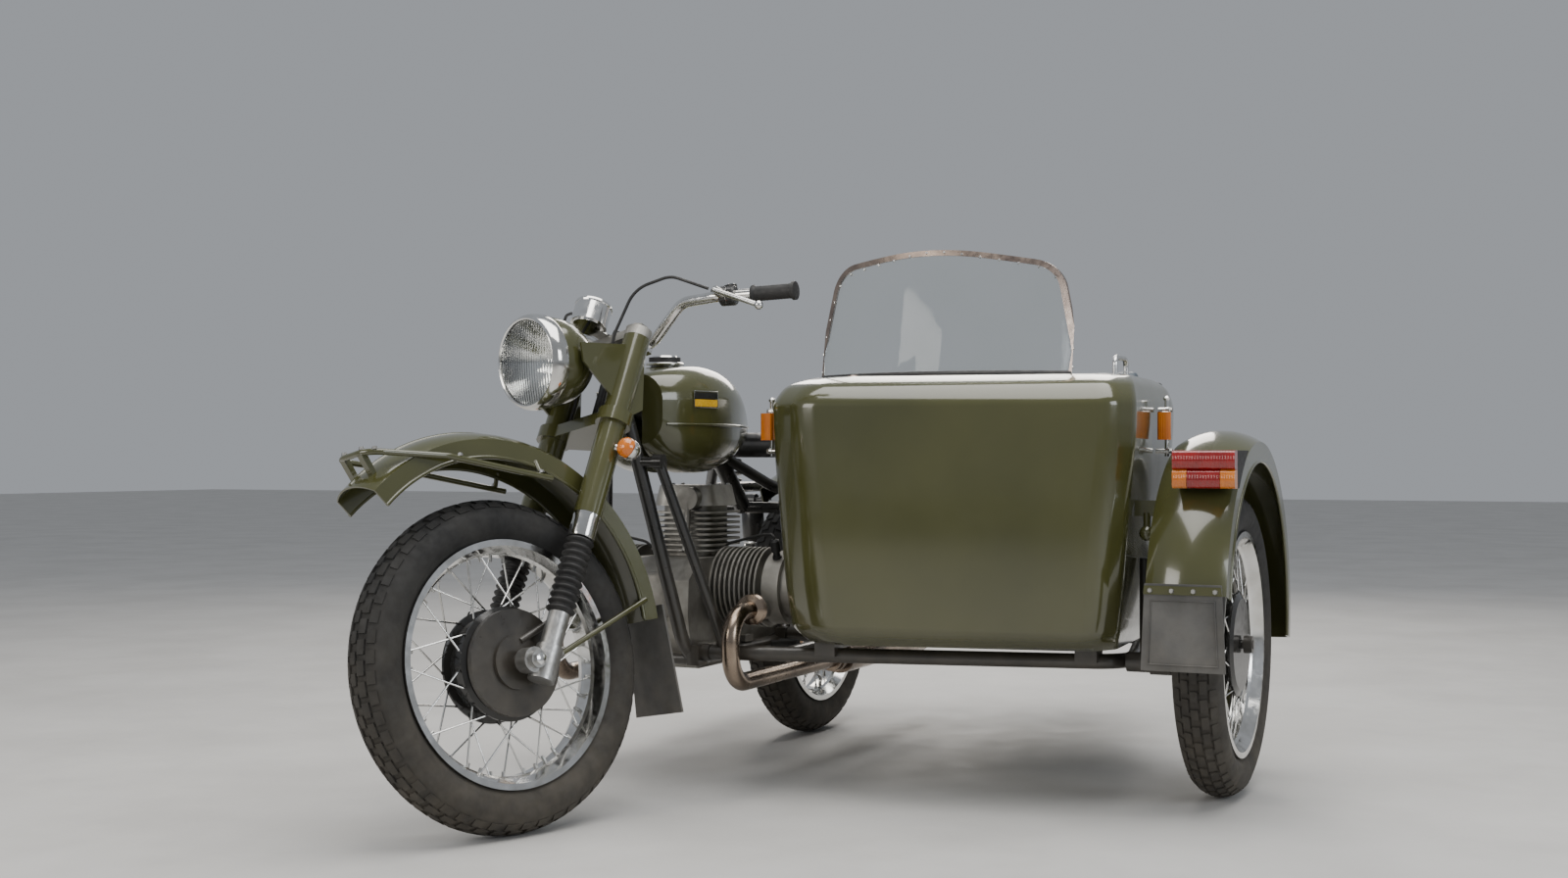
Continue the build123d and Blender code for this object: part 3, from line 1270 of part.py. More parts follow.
# Control cables held between the levers and the lower yoke
cable_r = 3.5
with BuildPart() as control_cables:
    for side in (1, -1):
        tube(
            [in_fork(8, side * 268, clamp_high + 66), in_fork(60, side * 190, clamp_high + 92),
             in_fork(90, side * 110, clamp_high + 62), in_fork(80, side * 66, clamp_high - 40),
             in_fork(52, side * 52, head_low - clear + 60), in_fork(52, side * 52, head_low - clear + touch)],
            cable_r, [60, 70, 90, 90],
        )
export_step(steered(control_cables.part, "control_cables"), "parts/control_cables.step")
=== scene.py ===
# %% [markdown]
# # A motorcycle with a sidecar
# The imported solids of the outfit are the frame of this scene: every one of them already stands at its
# real place, in metres. This script dresses them. Solids whose shape is right keep it and get a finish
# made of nodes. Tyres, cushions, lamps, rubber parts and the sidecar's shell are made again, with more
# detail over the same form.

import json
from math import cos, exp, pi, radians, sin, sqrt, tan

import bmesh
import bpy
from mathutils import Matrix, Vector
from mathutils.bvhtree import BVHTree


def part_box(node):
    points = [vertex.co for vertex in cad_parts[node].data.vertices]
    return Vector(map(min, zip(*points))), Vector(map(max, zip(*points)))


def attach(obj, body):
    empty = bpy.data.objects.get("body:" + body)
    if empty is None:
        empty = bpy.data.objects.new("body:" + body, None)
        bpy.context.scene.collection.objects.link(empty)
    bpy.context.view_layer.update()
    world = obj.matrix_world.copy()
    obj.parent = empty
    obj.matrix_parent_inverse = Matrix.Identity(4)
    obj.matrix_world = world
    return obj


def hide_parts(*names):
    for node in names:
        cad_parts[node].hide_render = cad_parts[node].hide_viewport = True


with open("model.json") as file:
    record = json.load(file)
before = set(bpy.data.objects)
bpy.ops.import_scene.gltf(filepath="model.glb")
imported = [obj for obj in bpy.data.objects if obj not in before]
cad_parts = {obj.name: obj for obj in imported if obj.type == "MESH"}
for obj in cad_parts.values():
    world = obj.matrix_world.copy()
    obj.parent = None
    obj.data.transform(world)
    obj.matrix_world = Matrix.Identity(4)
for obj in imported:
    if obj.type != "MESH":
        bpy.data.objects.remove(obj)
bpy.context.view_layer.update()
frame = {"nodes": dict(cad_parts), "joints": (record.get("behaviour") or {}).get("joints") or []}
nodes = frame["nodes"]
joints = {joint["name"]: joint for joint in frame["joints"]}
print(len(nodes), "solids loaded")

# %% [markdown]
# ## Places
# The outfit is measured from the floor under the rear axle, forward, to the left and up. The joints of
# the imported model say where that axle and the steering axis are, so no place is fitted by eye. The front
# end is parked turned to the right, so its pieces are drawn straight ahead and then turned with it.

# %% Places on the outfit
rear_hub = Vector(joints["rear_wheel_spin"]["pos_m"])
side_hub = Vector(joints["sidecar_wheel_spin"]["pos_m"])
fork_foot = Vector(joints["steering"]["pos_m"])
fork_up = Vector(joints["steering"]["axis"]).normalized()
fork_out = Vector((fork_up.z, 0, -fork_up.x))
rest_turn = radians(22.0)
turning = (Matrix.Translation(fork_foot) @ Matrix.Rotation(-rest_turn, 4, fork_up)
           @ Matrix.Translation(-fork_foot))
front_hub = turning.inverted() @ Vector(joints["front_wheel_spin"]["pos_m"])
forward, left, up = Vector((1, 0, 0)), Vector((0, 1, 0)), Vector((0, 0, 1))
touch = 0.0005


def at(x, y, z):
    """A place given in metres from the floor under the rear axle."""
    return Vector((rear_hub.x + x, rear_hub.y + y, z))


def in_fork(ahead, aside, height):
    """A place in the fork's own directions, before the fork is turned."""
    return fork_foot + fork_out * ahead + left * aside + fork_up * height


print("fork foot", fork_foot, "front hub", front_hub)

# %% [markdown]
# ## Shapes
# Nearly all of this vehicle is turned on a lathe, bent from tube or pressed from sheet. So three small
# makers do most of the work: one turns a profile round a line, one sweeps a ring along a path, and one
# pushes a flat outline through a thickness. Each adds to a mesh that is being built, which keeps like
# pieces in one object.


# %% Makers for turned, swept and flat pieces
def turned(work, profile, start, way, around=40):
    """Turns (distance along, radius) pairs round a line into a closed skin."""
    way = way.normalized()
    across = way.orthogonal().normalized()
    third = way.cross(across)
    rings = []
    for along, radius in profile:
        count = 1 if radius < 1e-6 else around
        rings.append([
            work.verts.new(start + way * along + (across * cos(2 * pi * k / around)
                                                  + third * sin(2 * pi * k / around)) * radius)
            for k in range(count)
        ])
    for low, high in zip(rings, rings[1:]):
        for k in range(around):
            corners = [low[k % len(low)], high[k % len(high)],
                       high[(k + 1) % around % len(high)], low[(k + 1) % around % len(low)]]
            unique = list(dict.fromkeys(corners))
            if len(unique) > 2:
                work.faces.new(unique)


def rounded(points, bend, steps=5):
    """The same path with each inner corner rounded over a length to each side."""
    path = [points[0]]
    for before, corner, after in zip(points, points[1:], points[2:]):
        enter = corner + (before - corner).normalized() * bend
        leave = corner + (after - corner).normalized() * bend
        for step in range(steps + 1):
            t = step / steps
            path.append(enter * (1 - t) ** 2 + corner * 2 * t * (1 - t) + leave * t ** 2)
    return path + [points[-1]]


def swept(work, path, radius, closed=False, around=10):
    """Sweeps a round ring along a path, with flat ends or as a closed loop."""
    total = len(path)
    ways = []
    for k in range(total):
        before = path[k - 1] if closed or k else path[0]
        after = path[(k + 1) % total] if closed or k < total - 1 else path[-1]
        ways.append((after - before).normalized())
    side = ways[0].orthogonal().normalized()
    rings = []
    for place, way in zip(path, ways):
        side = (side - way * side.dot(way)).normalized()
        third = way.cross(side)
        rings.append([work.verts.new(place + (side * cos(2 * pi * k / around)
                                              + third * sin(2 * pi * k / around)) * radius)
                      for k in range(around)])
    pairs = list(zip(rings, rings[1:]))
    if closed:
        turn = min(range(around), key=lambda k: (rings[-1][0].co - rings[0][k].co).length)
        pairs.append((rings[-1], rings[0][turn:] + rings[0][:turn]))
    else:
        work.faces.new(rings[0])
        work.faces.new(rings[-1])
    for low, high in pairs:
        for k in range(around):
            m = (k + 1) % around
            work.faces.new((low[k], high[k], high[m], low[m]))


def prism(work, outline, push):
    """Pushes a flat outline through a thickness."""
    low = [work.verts.new(place) for place in outline]
    high = [work.verts.new(place + push) for place in outline]
    work.faces.new(low)
    work.faces.new(high)
    for k in range(len(low)):
        m = (k + 1) % len(low)
        work.faces.new((low[k], low[m], high[m], high[k]))


def round_box(work, middle, size, corner, steps=4, lean=Matrix.Identity(3)):
    """A block with rounded upright edges, turned by a lean matrix."""
    half = [s / 2 for s in size]
    outline = []
    for cx, cy, start in ((1, 1, 0), (-1, 1, 90), (-1, -1, 180), (1, -1, 270)):
        for step in range(steps + 1):
            angle = radians(start + 90 * step / steps)
            outline.append(Vector((cx * (half[0] - corner) + corner * cos(angle),
                                   cy * (half[1] - corner) + corner * sin(angle), -half[2])))
    prism(work, [middle + lean @ place for place in outline], lean @ Vector((0, 0, size[2])))


def show(work, name, body, coat, stands_for=(), sharp_deg=38, turn=None):
    """Makes a piece of the finished mesh, smooth between soft edges, riding on its body."""
    bmesh.ops.remove_doubles(work, verts=work.verts, dist=1e-6)
    bmesh.ops.recalc_face_normals(work, faces=work.faces)
    if turn:
        work.transform(turn)
    mesh = bpy.data.meshes.new(name)
    work.to_mesh(mesh)
    work.free()
    return show_mesh(mesh, name, body, coat, stands_for, sharp_deg)


def show_mesh(mesh, name, body, coat, stands_for=(), sharp_deg=38):
    """Shows a ready mesh as a piece."""
    mesh.materials.clear()
    mesh.materials.append(coat)
    mesh.shade_smooth()
    mesh.set_sharp_from_angle(angle=radians(sharp_deg))
    piece = bpy.data.objects.new(name, mesh)
    bpy.context.scene.collection.objects.link(piece)
    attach(piece, body)
    if stands_for:
        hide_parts(*stands_for)
    print(name, len(mesh.polygons), "faces")
    return piece


def on_skin(node, start, way):
    """Where a straight line from outside first meets a solid, and the way its skin faces there."""
    mesh = nodes[node].data
    tree = BVHTree.FromPolygons([v.co for v in mesh.vertices], [p.vertices for p in mesh.polygons])
    return tree.ray_cast(start, way.normalized())[:2]


def arc(first, middle, last, steps):
    """Points on the round arc through three flat points."""
    (ax, ay), (bx, by), (cx, cy) = first, middle, last
    d = 2 * (ax * (by - cy) + bx * (cy - ay) + cx * (ay - by))
    ux = ((ax**2 + ay**2) * (by - cy) + (bx**2 + by**2) * (cy - ay) + (cx**2 + cy**2) * (ay - by)) / d
    uy = ((ax**2 + ay**2) * (cx - bx) + (bx**2 + by**2) * (ax - cx) + (cx**2 + cy**2) * (bx - ax)) / d
    centre = Vector((ux, uy, 0))
    start = Vector((ax, ay, 0)) - centre
    end = Vector((cx, cy, 0)) - centre
    span = start.xy.angle_signed(end.xy)
    found = []
    for step in range(steps + 1):
        place = centre + Matrix.Rotation(-span * step / steps, 3, "Z") @ start
        found.append((place.x, place.y))
    return found


# %% [markdown]
# ## Finishes
# Every finish is a small tree of nodes on Object coordinates, which are metres here, so a scale of 600
# makes leather grain under two millimetres across. One function lays down what all of them share: two
# colours mixed by noise, roughness that varies a little, and a bump. Numbers that are the same all over
# a piece are set on the shader itself, because those travel with an exported model.


# %% A finish with mottled colour, uneven gloss and a bump
def finish(name, colours, rough, metal=0.0, mottle=6.0, grain=None, dust=None, **sockets):
    """Makes a material. grain is (kind, scale, depth), dust is (colour, height it reaches, strength)."""
    material = bpy.data.materials.new(name)
    material.use_nodes = True
    tree = material.node_tree
    shader = tree.nodes["Principled BSDF"]
    place = tree.nodes.new("ShaderNodeTexCoord").outputs["Object"]
    noise = tree.nodes.new("ShaderNodeTexNoise")
    noise.inputs["Scale"].default_value = mottle
    noise.inputs["Detail"].default_value = 6
    tree.links.new(place, noise.inputs["Vector"])
    mix = tree.nodes.new("ShaderNodeMix")
    mix.data_type = "RGBA"
    mix.inputs["A"].default_value = (*colours[0], 1)
    mix.inputs["B"].default_value = (*colours[1], 1)
    ramp = tree.nodes.new("ShaderNodeMapRange")
    ramp.inputs["From Min"].default_value = 0.38
    ramp.inputs["From Max"].default_value = 0.66
    tree.links.new(noise.outputs["Fac"], ramp.inputs["Value"])
    tree.links.new(ramp.outputs["Result"], mix.inputs["Factor"])
    colour = mix.outputs["Result"]
    gloss = tree.nodes.new("ShaderNodeMapRange")
    gloss.inputs["From Min"].default_value = 0.3
    gloss.inputs["From Max"].default_value = 0.7
    gloss.inputs["To Min"].default_value = rough[0]
    gloss.inputs["To Max"].default_value = rough[1]
    fine = tree.nodes.new("ShaderNodeTexNoise")
    fine.inputs["Scale"].default_value = mottle * 5
    fine.inputs["Detail"].default_value = 8
    tree.links.new(place, fine.inputs["Vector"])
    tree.links.new(fine.outputs["Fac"], gloss.inputs["Value"])
    roughness = gloss.outputs["Result"]
    if dust:
        colour, roughness = dusted(tree, place, colour, roughness, *dust)
    if grain:
        tree.links.new(grained(tree, place, *grain), shader.inputs["Normal"])
    tree.links.new(colour, shader.inputs["Base Color"])
    tree.links.new(roughness, shader.inputs["Roughness"])
    shader.inputs["Metallic"].default_value = metal
    for socket, value in sockets.items():
        shader.inputs[socket.replace("_", " ")].default_value = value
    print("finish", name)
    return material


def dusted(tree, place, colour, roughness, dust_colour, reach, strength):
    """Road dust that fades out with height and is broken up by noise."""
    split = tree.nodes.new("ShaderNodeSeparateXYZ")
    tree.links.new(place, split.inputs["Vector"])
    fade = tree.nodes.new("ShaderNodeMapRange")
    fade.inputs["From Min"].default_value = reach
    fade.inputs["From Max"].default_value = 0.0
    fade.inputs["To Max"].default_value = strength
    tree.links.new(split.outputs["Z"], fade.inputs["Value"])
    speck = tree.nodes.new("ShaderNodeTexNoise")
    speck.inputs["Scale"].default_value = 24
    speck.inputs["Detail"].default_value = 9
    tree.links.new(place, speck.inputs["Vector"])
    amount = tree.nodes.new("ShaderNodeMath")
    amount.operation = "MULTIPLY"
    amount.use_clamp = True
    tree.links.new(fade.outputs["Result"], amount.inputs[0])
    tree.links.new(speck.outputs["Fac"], amount.inputs[1])
    mix = tree.nodes.new("ShaderNodeMix")
    mix.data_type = "RGBA"
    mix.inputs["B"].default_value = (*dust_colour, 1)
    tree.links.new(amount.outputs[0], mix.inputs["Factor"])
    tree.links.new(colour, mix.inputs["A"])
    rough = tree.nodes.new("ShaderNodeMix")
    rough.inputs["B"].default_value = 0.85
    tree.links.new(amount.outputs[0], rough.inputs["Factor"])
    tree.links.new(roughness, rough.inputs["A"])
    return mix.outputs["Result"], rough.outputs["Result"]


def grained(tree, place, kind, scale, depth):
    """A bump from noise, from leather cells or from straight flutes."""
    if kind == "cells":
        texture = tree.nodes.new("ShaderNodeTexVoronoi")
        texture.inputs["Scale"].default_value = scale
        height = texture.outputs["Distance"]
    elif kind == "flutes":
        texture = tree.nodes.new("ShaderNodeTexWave")
        texture.bands_direction = "Y"
        texture.inputs["Scale"].default_value = scale
        height = texture.outputs["Fac"]
    else:
        texture = tree.nodes.new("ShaderNodeTexNoise")
        texture.inputs["Scale"].default_value = scale
        texture.inputs["Detail"].default_value = 4
        height = texture.outputs["Fac"]
    tree.links.new(place, texture.inputs["Vector"])
    bump = tree.nodes.new("ShaderNodeBump")
    bump.inputs["Strength"].default_value = 0.6
    bump.inputs["Distance"].default_value = depth
    tree.links.new(height, bump.inputs["Height"])
    return bump.outputs["Normal"]


# %% The outfit's finishes
road_dust = (0.30, 0.25, 0.18)
green_paint = finish("olive_paint", [(0.066, 0.066, 0.021), (0.052, 0.053, 0.017)], (0.14, 0.24), mottle=3,
                     grain=("noise", 9, 0.0006), dust=(road_dust, 0.50, 0.28), Coat_Weight=0.8,
                     Coat_Roughness=0.06)
black_paint = finish("black_paint", [(0.012, 0.012, 0.012), (0.022, 0.021, 0.020)], (0.22, 0.42), mottle=9,
                     grain=("noise", 40, 0.0003), dust=(road_dust, 0.6, 0.5), Coat_Weight=0.3)
chrome = finish("chrome_plate", [(0.80, 0.80, 0.79), (0.62, 0.61, 0.58)], (0.05, 0.20), metal=1.0, mottle=14,
                dust=(road_dust, 0.5, 0.25))
worn_steel = finish("zinc_steel", [(0.50, 0.50, 0.49), (0.36, 0.35, 0.33)], (0.28, 0.48), metal=1.0,
                    mottle=30,
                    grain=("noise", 220, 0.0002))
bronzed_steel = finish("bronzed_steel", [(0.42, 0.33, 0.27), (0.27, 0.21, 0.18)], (0.22, 0.40), metal=1.0,
                       mottle=18,
                       grain=("noise", 160, 0.0002))
cast_metal = finish("cast_aluminium", [(0.42, 0.41, 0.38), (0.25, 0.24, 0.22)], (0.38, 0.62), metal=0.9,
                    mottle=12,
                    grain=("noise", 300, 0.0004), dust=(road_dust, 0.75, 0.4))
heat_chrome = finish("heat_browned_chrome", [(0.40, 0.32, 0.25), (0.20, 0.155, 0.12)], (0.14, 0.34),
                     metal=1.0,
                     mottle=7, grain=("noise", 60, 0.0002))
tyre_rubber = finish("tyre_rubber", [(0.012, 0.012, 0.012), (0.026, 0.025, 0.023)], (0.70, 0.92), mottle=11,
                     grain=("noise", 380, 0.0004), dust=(road_dust, 0.55, 0.30))
black_rubber = finish("black_rubber", [(0.010, 0.010, 0.010), (0.024, 0.023, 0.022)], (0.45, 0.70), mottle=20,
                      grain=("noise", 500, 0.0002))
flap_rubber = finish("flap_rubber", [(0.055, 0.056, 0.056), (0.10, 0.10, 0.098)], (0.55, 0.8), mottle=10,
                     grain=("noise", 260, 0.0004), dust=(road_dust, 0.6, 0.5))
black_leather = finish("black_leather", [(0.012, 0.012, 0.013), (0.028, 0.027, 0.027)], (0.34, 0.52),
                       mottle=15,
                       grain=("cells", 620, 0.0005), Sheen_Weight=0.08)
blue_leather = finish("blue_grey_leather", [(0.050, 0.068, 0.088), (0.082, 0.100, 0.120)], (0.30, 0.50),
                      mottle=12,
                      grain=("cells", 520, 0.0006), Sheen_Weight=0.1)
amber_lens = finish("amber_lens", [(0.90, 0.26, 0.015), (0.78, 0.20, 0.01)], (0.10, 0.18), mottle=30,
                    grain=("flutes", 60, 0.0006), Transmission_Weight=0.35, Coat_Weight=0.8)
red_lens = finish("red_lens", [(0.42, 0.010, 0.008), (0.30, 0.006, 0.006)], (0.08, 0.16), mottle=30,
                  grain=("flutes", 55, 0.0006), Transmission_Weight=0.35, Coat_Weight=0.8)
screen_glass = finish("screen_glass", [(0.93, 0.95, 0.94), (0.90, 0.93, 0.91)], (0.01, 0.05), mottle=5,
                      Transmission_Weight=1.0, IOR=1.25)
lamp_glass = finish("fluted_glass", [(0.97, 0.98, 0.98), (0.94, 0.95, 0.95)], (0.02, 0.06), mottle=10,
                    grain=("flutes", 42, 0.0012), Transmission_Weight=1.0, IOR=1.35)
mirror = finish("lamp_mirror", [(0.88, 0.88, 0.86), (0.80, 0.80, 0.78)], (0.10, 0.18), metal=1.0, mottle=20)
plate_white = finish("blank_plate", [(0.72, 0.72, 0.69), (0.62, 0.61, 0.57)], (0.35, 0.55), mottle=14)
badge_yellow = finish("badge_yellow", [(0.72, 0.42, 0.02), (0.62, 0.35, 0.02)], (0.20, 0.32), mottle=30)

# %% [markdown]
# ### A wheel in one finish
# Each wheel is one solid: chromed rim and spokes round a black painted hub. One material can dress both,
# because the distance from the hub's middle tells them apart.


# %% Chrome rim and black hub
def wheel_finish(name, hub, hub_reach=0.127):
    """Chrome outside a distance from the hub's middle, dusty black paint inside it."""
    material = finish(name, [(0.80, 0.80, 0.79), (0.60, 0.59, 0.56)], (0.06, 0.22), mottle=14)
    tree = material.node_tree
    shader = tree.nodes["Principled BSDF"]
    spot = tree.nodes.new("ShaderNodeVectorMath")
    spot.operation = "DISTANCE"
    spot.inputs[1].default_value = hub
    tree.links.new(tree.nodes["Texture Coordinate"].outputs["Object"], spot.inputs[0])
    outside = tree.nodes.new("ShaderNodeMath")
    outside.operation = "GREATER_THAN"
    outside.inputs[1].default_value = hub_reach
    tree.links.new(spot.outputs["Value"], outside.inputs[0])
    mix = tree.nodes.new("ShaderNodeMix")
    mix.data_type = "RGBA"
    mix.inputs["A"].default_value = (0.022, 0.021, 0.019, 1)
    tree.links.new(outside.outputs[0], mix.inputs["Factor"])
    tree.links.new(shader.inputs["Base Color"].links[0].from_socket, mix.inputs["B"])
    tree.links.new(mix.outputs["Result"], shader.inputs["Base Color"])
    tree.links.new(outside.outputs[0], shader.inputs["Metallic"])
    return material


# %% Put the finishes on the solids that keep their shape
kept_solids = {
    green_paint: ["boot_lid", "fork_upper", "front_mudguard", "rear_mudguard", "sidecar_body",
                  "sidecar_mudguard", "tank"],
    black_paint: ["brake_plate", "frame", "rear_dampers", "sidecar_chassis", "swing_arm", "wheel_knuckle"],
    chrome: ["grab_handle", "handlebar", "instrument"],
    cast_metal: ["carburettors", "crankcase", "fork_crown", "left_cylinder", "right_cylinder",
                 "upright_cylinder"],
    worn_steel: ["fork_legs"],
    bronzed_steel: ["windscreen_frame"],
    heat_chrome: ["left_exhaust", "right_exhaust"],
    black_rubber: ["control_cables", "footrests", "tank_cap"],
    flap_rubber: ["front_mudflap", "sidecar_mudflap"],
    screen_glass: ["windscreen_glass"],
}


def dress(node, material):
    """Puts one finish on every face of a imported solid."""
    slots = nodes[node].data.materials
    slots.clear()
    slots.append(material)


for material, names in kept_solids.items():
    for node in names:
        dress(node, material)
for node in nodes:
    if node not in sum(kept_solids.values(), []):
        dress(node, black_rubber)
print("solids dressed")

# %% [markdown]
# ## Screws and rivets
# Small heads repeat all over the outfit. Geometry Nodes put one on every vertex of a mesh of marks: each
# mark carries the way it faces, and the tree has the head's size and number of sides as inputs. A low
# cone with its tip cut off is a fair rivet with twelve sides and a fair bolt head with six.


# %% The tree that puts heads on marks
def node_tree(name, inputs):
    """Starts a Geometry Nodes tree with named inputs, and returns the tree and its input node."""
    tree = bpy.data.node_groups.new(name, "GeometryNodeTree")
    tree.interface.new_socket("Geometry", in_out="INPUT", socket_type="NodeSocketGeometry")
    for label, kind, value in inputs:
        socket = tree.interface.new_socket(label, in_out="INPUT", socket_type=kind)
        if value is not None:
            socket.default_value = value
    tree.interface.new_socket("Geometry", in_out="OUTPUT", socket_type="NodeSocketGeometry")
    return tree, tree.nodes.new("NodeGroupInput")


def close_tree(tree, given, last):
    """Ends a tree in Realize Instances and Set Material."""
    real = tree.nodes.new("GeometryNodeRealizeInstances")
    coat = tree.nodes.new("GeometryNodeSetMaterial")
    out = tree.nodes.new("NodeGroupOutput")
    tree.links.new(last, real.inputs["Geometry"])
    tree.links.new(real.outputs["Geometry"], coat.inputs["Geometry"])
    tree.links.new(given.outputs["Finish"], coat.inputs["Material"])
    tree.links.new(coat.outputs["Geometry"], out.inputs["Geometry"])


def grown(tree, carrier_mesh, **values):
    """Runs a tree on a mesh with these input values and returns the plain mesh it makes."""
    carrier = bpy.data.objects.new("marks", carrier_mesh)
    bpy.context.scene.collection.objects.link(carrier)
    modifier = carrier.modifiers.new("grow", "NODES")
    modifier.node_group = tree
    for item in tree.interface.items_tree:
        if item.in_out == "INPUT" and item.name.replace(" ", "_") in values:
            modifier[item.identifier] = values[item.name.replace(" ", "_")]
    evaluated = carrier.evaluated_get(bpy.context.evaluated_depsgraph_get())
    mesh = bpy.data.meshes.new_from_object(evaluated)
    bpy.data.objects.remove(carrier)
    return mesh


head_tree, given = node_tree("heads_on_marks", [
    ("Radius", "NodeSocketFloat", 0.004), ("Height", "NodeSocketFloat", 0.003), ("Sides", "NodeSocketInt", 6),
    ("Finish", "NodeSocketMaterial", None),
])
head = head_tree.nodes.new("GeometryNodeMeshCone")
facing = head_tree.nodes.new("GeometryNodeInputNamedAttribute")
facing.data_type = "FLOAT_VECTOR"
facing.inputs["Name"].default_value = "facing"
aim = head_tree.nodes.new("FunctionNodeAlignRotationToVector")
aim.axis = "Z"
slim = head_tree.nodes.new("ShaderNodeMath")
slim.operation = "MULTIPLY"
slim.inputs[1].default_value = 0.72
spread = head_tree.nodes.new("GeometryNodeInstanceOnPoints")
head_tree.links.new(given.outputs["Sides"], head.inputs["Vertices"])
head_tree.links.new(given.outputs["Radius"], head.inputs["Radius Bottom"])
head_tree.links.new(given.outputs["Radius"], slim.inputs[0])
head_tree.links.new(slim.outputs[0], head.inputs["Radius Top"])
head_tree.links.new(given.outputs["Height"], head.inputs["Depth"])
head_tree.links.new(facing.outputs["Attribute"], aim.inputs["Vector"])
head_tree.links.new(given.outputs["Geometry"], spread.inputs["Points"])
head_tree.links.new(head.outputs["Mesh"], spread.inputs["Instance"])
head_tree.links.new(aim.outputs["Rotation"], spread.inputs["Rotation"])
close_tree(head_tree, given, spread.outputs["Instances"])


def heads(name, marks, body, material, radius=0.004, height=0.003, sides=6):
    """Puts a head on each (place, way it faces) mark."""
    mesh = bpy.data.meshes.new(name + "_marks")
    mesh.from_pydata([place - way.normalized() * height * 0.2 for place, way in marks], [], [])
    attribute = mesh.attributes.new("facing", "FLOAT_VECTOR", "POINT")
    for index, (place, way) in enumerate(marks):
        attribute.data[index].vector = way.normalized()
    made = grown(head_tree, mesh, Radius=radius, Height=height, Sides=sides, Finish=material)
    return show_mesh(made, name, body, material, sharp_deg=30)


# %% [markdown]
# ## Tyres
# The road tyres carry five rows of blocks round a rounded tread. The carcass is turned from a profile
# whose tread lies five millimetres under the real surface, and the blocks stand on it. A ring of blocks
# is a rule, not a drawing, so a Geometry Nodes tree makes a row: so many blocks, on a ring of this
# radius, moved this far aside and tilted to follow the round tread.

# %% The tree that makes one row of tread blocks
row_tree, given = node_tree("row_of_blocks", [
    ("Count", "NodeSocketInt", 48), ("Radius", "NodeSocketFloat", 0.3), ("Aside", "NodeSocketFloat", 0.0),
    ("Tilt", "NodeSocketFloat", 0.0), ("Phase", "NodeSocketFloat", 0.0), ("Block", "NodeSocketVector", None),
    ("Finish", "NodeSocketMaterial", None),
])
ring = row_tree.nodes.new("GeometryNodeMeshCircle")
block = row_tree.nodes.new("GeometryNodeMeshCube")
spot = row_tree.nodes.new("GeometryNodeInputPosition")
outward = row_tree.nodes.new("FunctionNodeAlignRotationToVector")
outward.axis = "Z"
level = row_tree.nodes.new("FunctionNodeAlignRotationToVector")
level.axis = "Y"
level.pivot_axis = "Z"
level.inputs["Vector"].default_value = (0, 0, 1)
row = row_tree.nodes.new("GeometryNodeInstanceOnPoints")
tilt = row_tree.nodes.new("GeometryNodeRotateInstances")
tilt_turn = row_tree.nodes.new("ShaderNodeCombineXYZ")
shift = row_tree.nodes.new("ShaderNodeCombineXYZ")
phase = row_tree.nodes.new("ShaderNodeCombineXYZ")
moved = row_tree.nodes.new("GeometryNodeTransform")
row_tree.links.new(given.outputs["Count"], ring.inputs["Vertices"])
row_tree.links.new(given.outputs["Radius"], ring.inputs["Radius"])
row_tree.links.new(given.outputs["Block"], block.inputs["Size"])
row_tree.links.new(spot.outputs["Position"], outward.inputs["Vector"])
row_tree.links.new(outward.outputs["Rotation"], level.inputs["Rotation"])
row_tree.links.new(ring.outputs["Mesh"], row.inputs["Points"])
row_tree.links.new(block.outputs["Mesh"], row.inputs["Instance"])
row_tree.links.new(level.outputs["Rotation"], row.inputs["Rotation"])
row_tree.links.new(given.outputs["Tilt"], tilt_turn.inputs["X"])
row_tree.links.new(row.outputs["Instances"], tilt.inputs["Instances"])
row_tree.links.new(tilt_turn.outputs["Vector"], tilt.inputs["Rotation"])
row_tree.links.new(given.outputs["Aside"], shift.inputs["Z"])
row_tree.links.new(given.outputs["Phase"], phase.inputs["Z"])
row_tree.links.new(tilt.outputs["Instances"], moved.inputs["Geometry"])
row_tree.links.new(shift.outputs["Vector"], moved.inputs["Translation"])
row_tree.links.new(phase.outputs["Vector"], moved.inputs["Rotation"])
close_tree(row_tree, given, moved.outputs["Geometry"])

# %% Make the three tyres
tyre_r = rear_hub.z
crown_r = 0.060
tread_half = 0.047
rim_edge_r = 0.256
bead_half = 0.037
groove = 0.005
tread_rows = [
    # angle round the tread in degrees, blocks, block length, block width
    (-41, 52, 0.026, 0.017), (-20, 52, 0.029, 0.016), (0, 52, 0.024, 0.015), (20, 52, 0.029, 0.016),
    (41, 52, 0.026, 0.017),
]


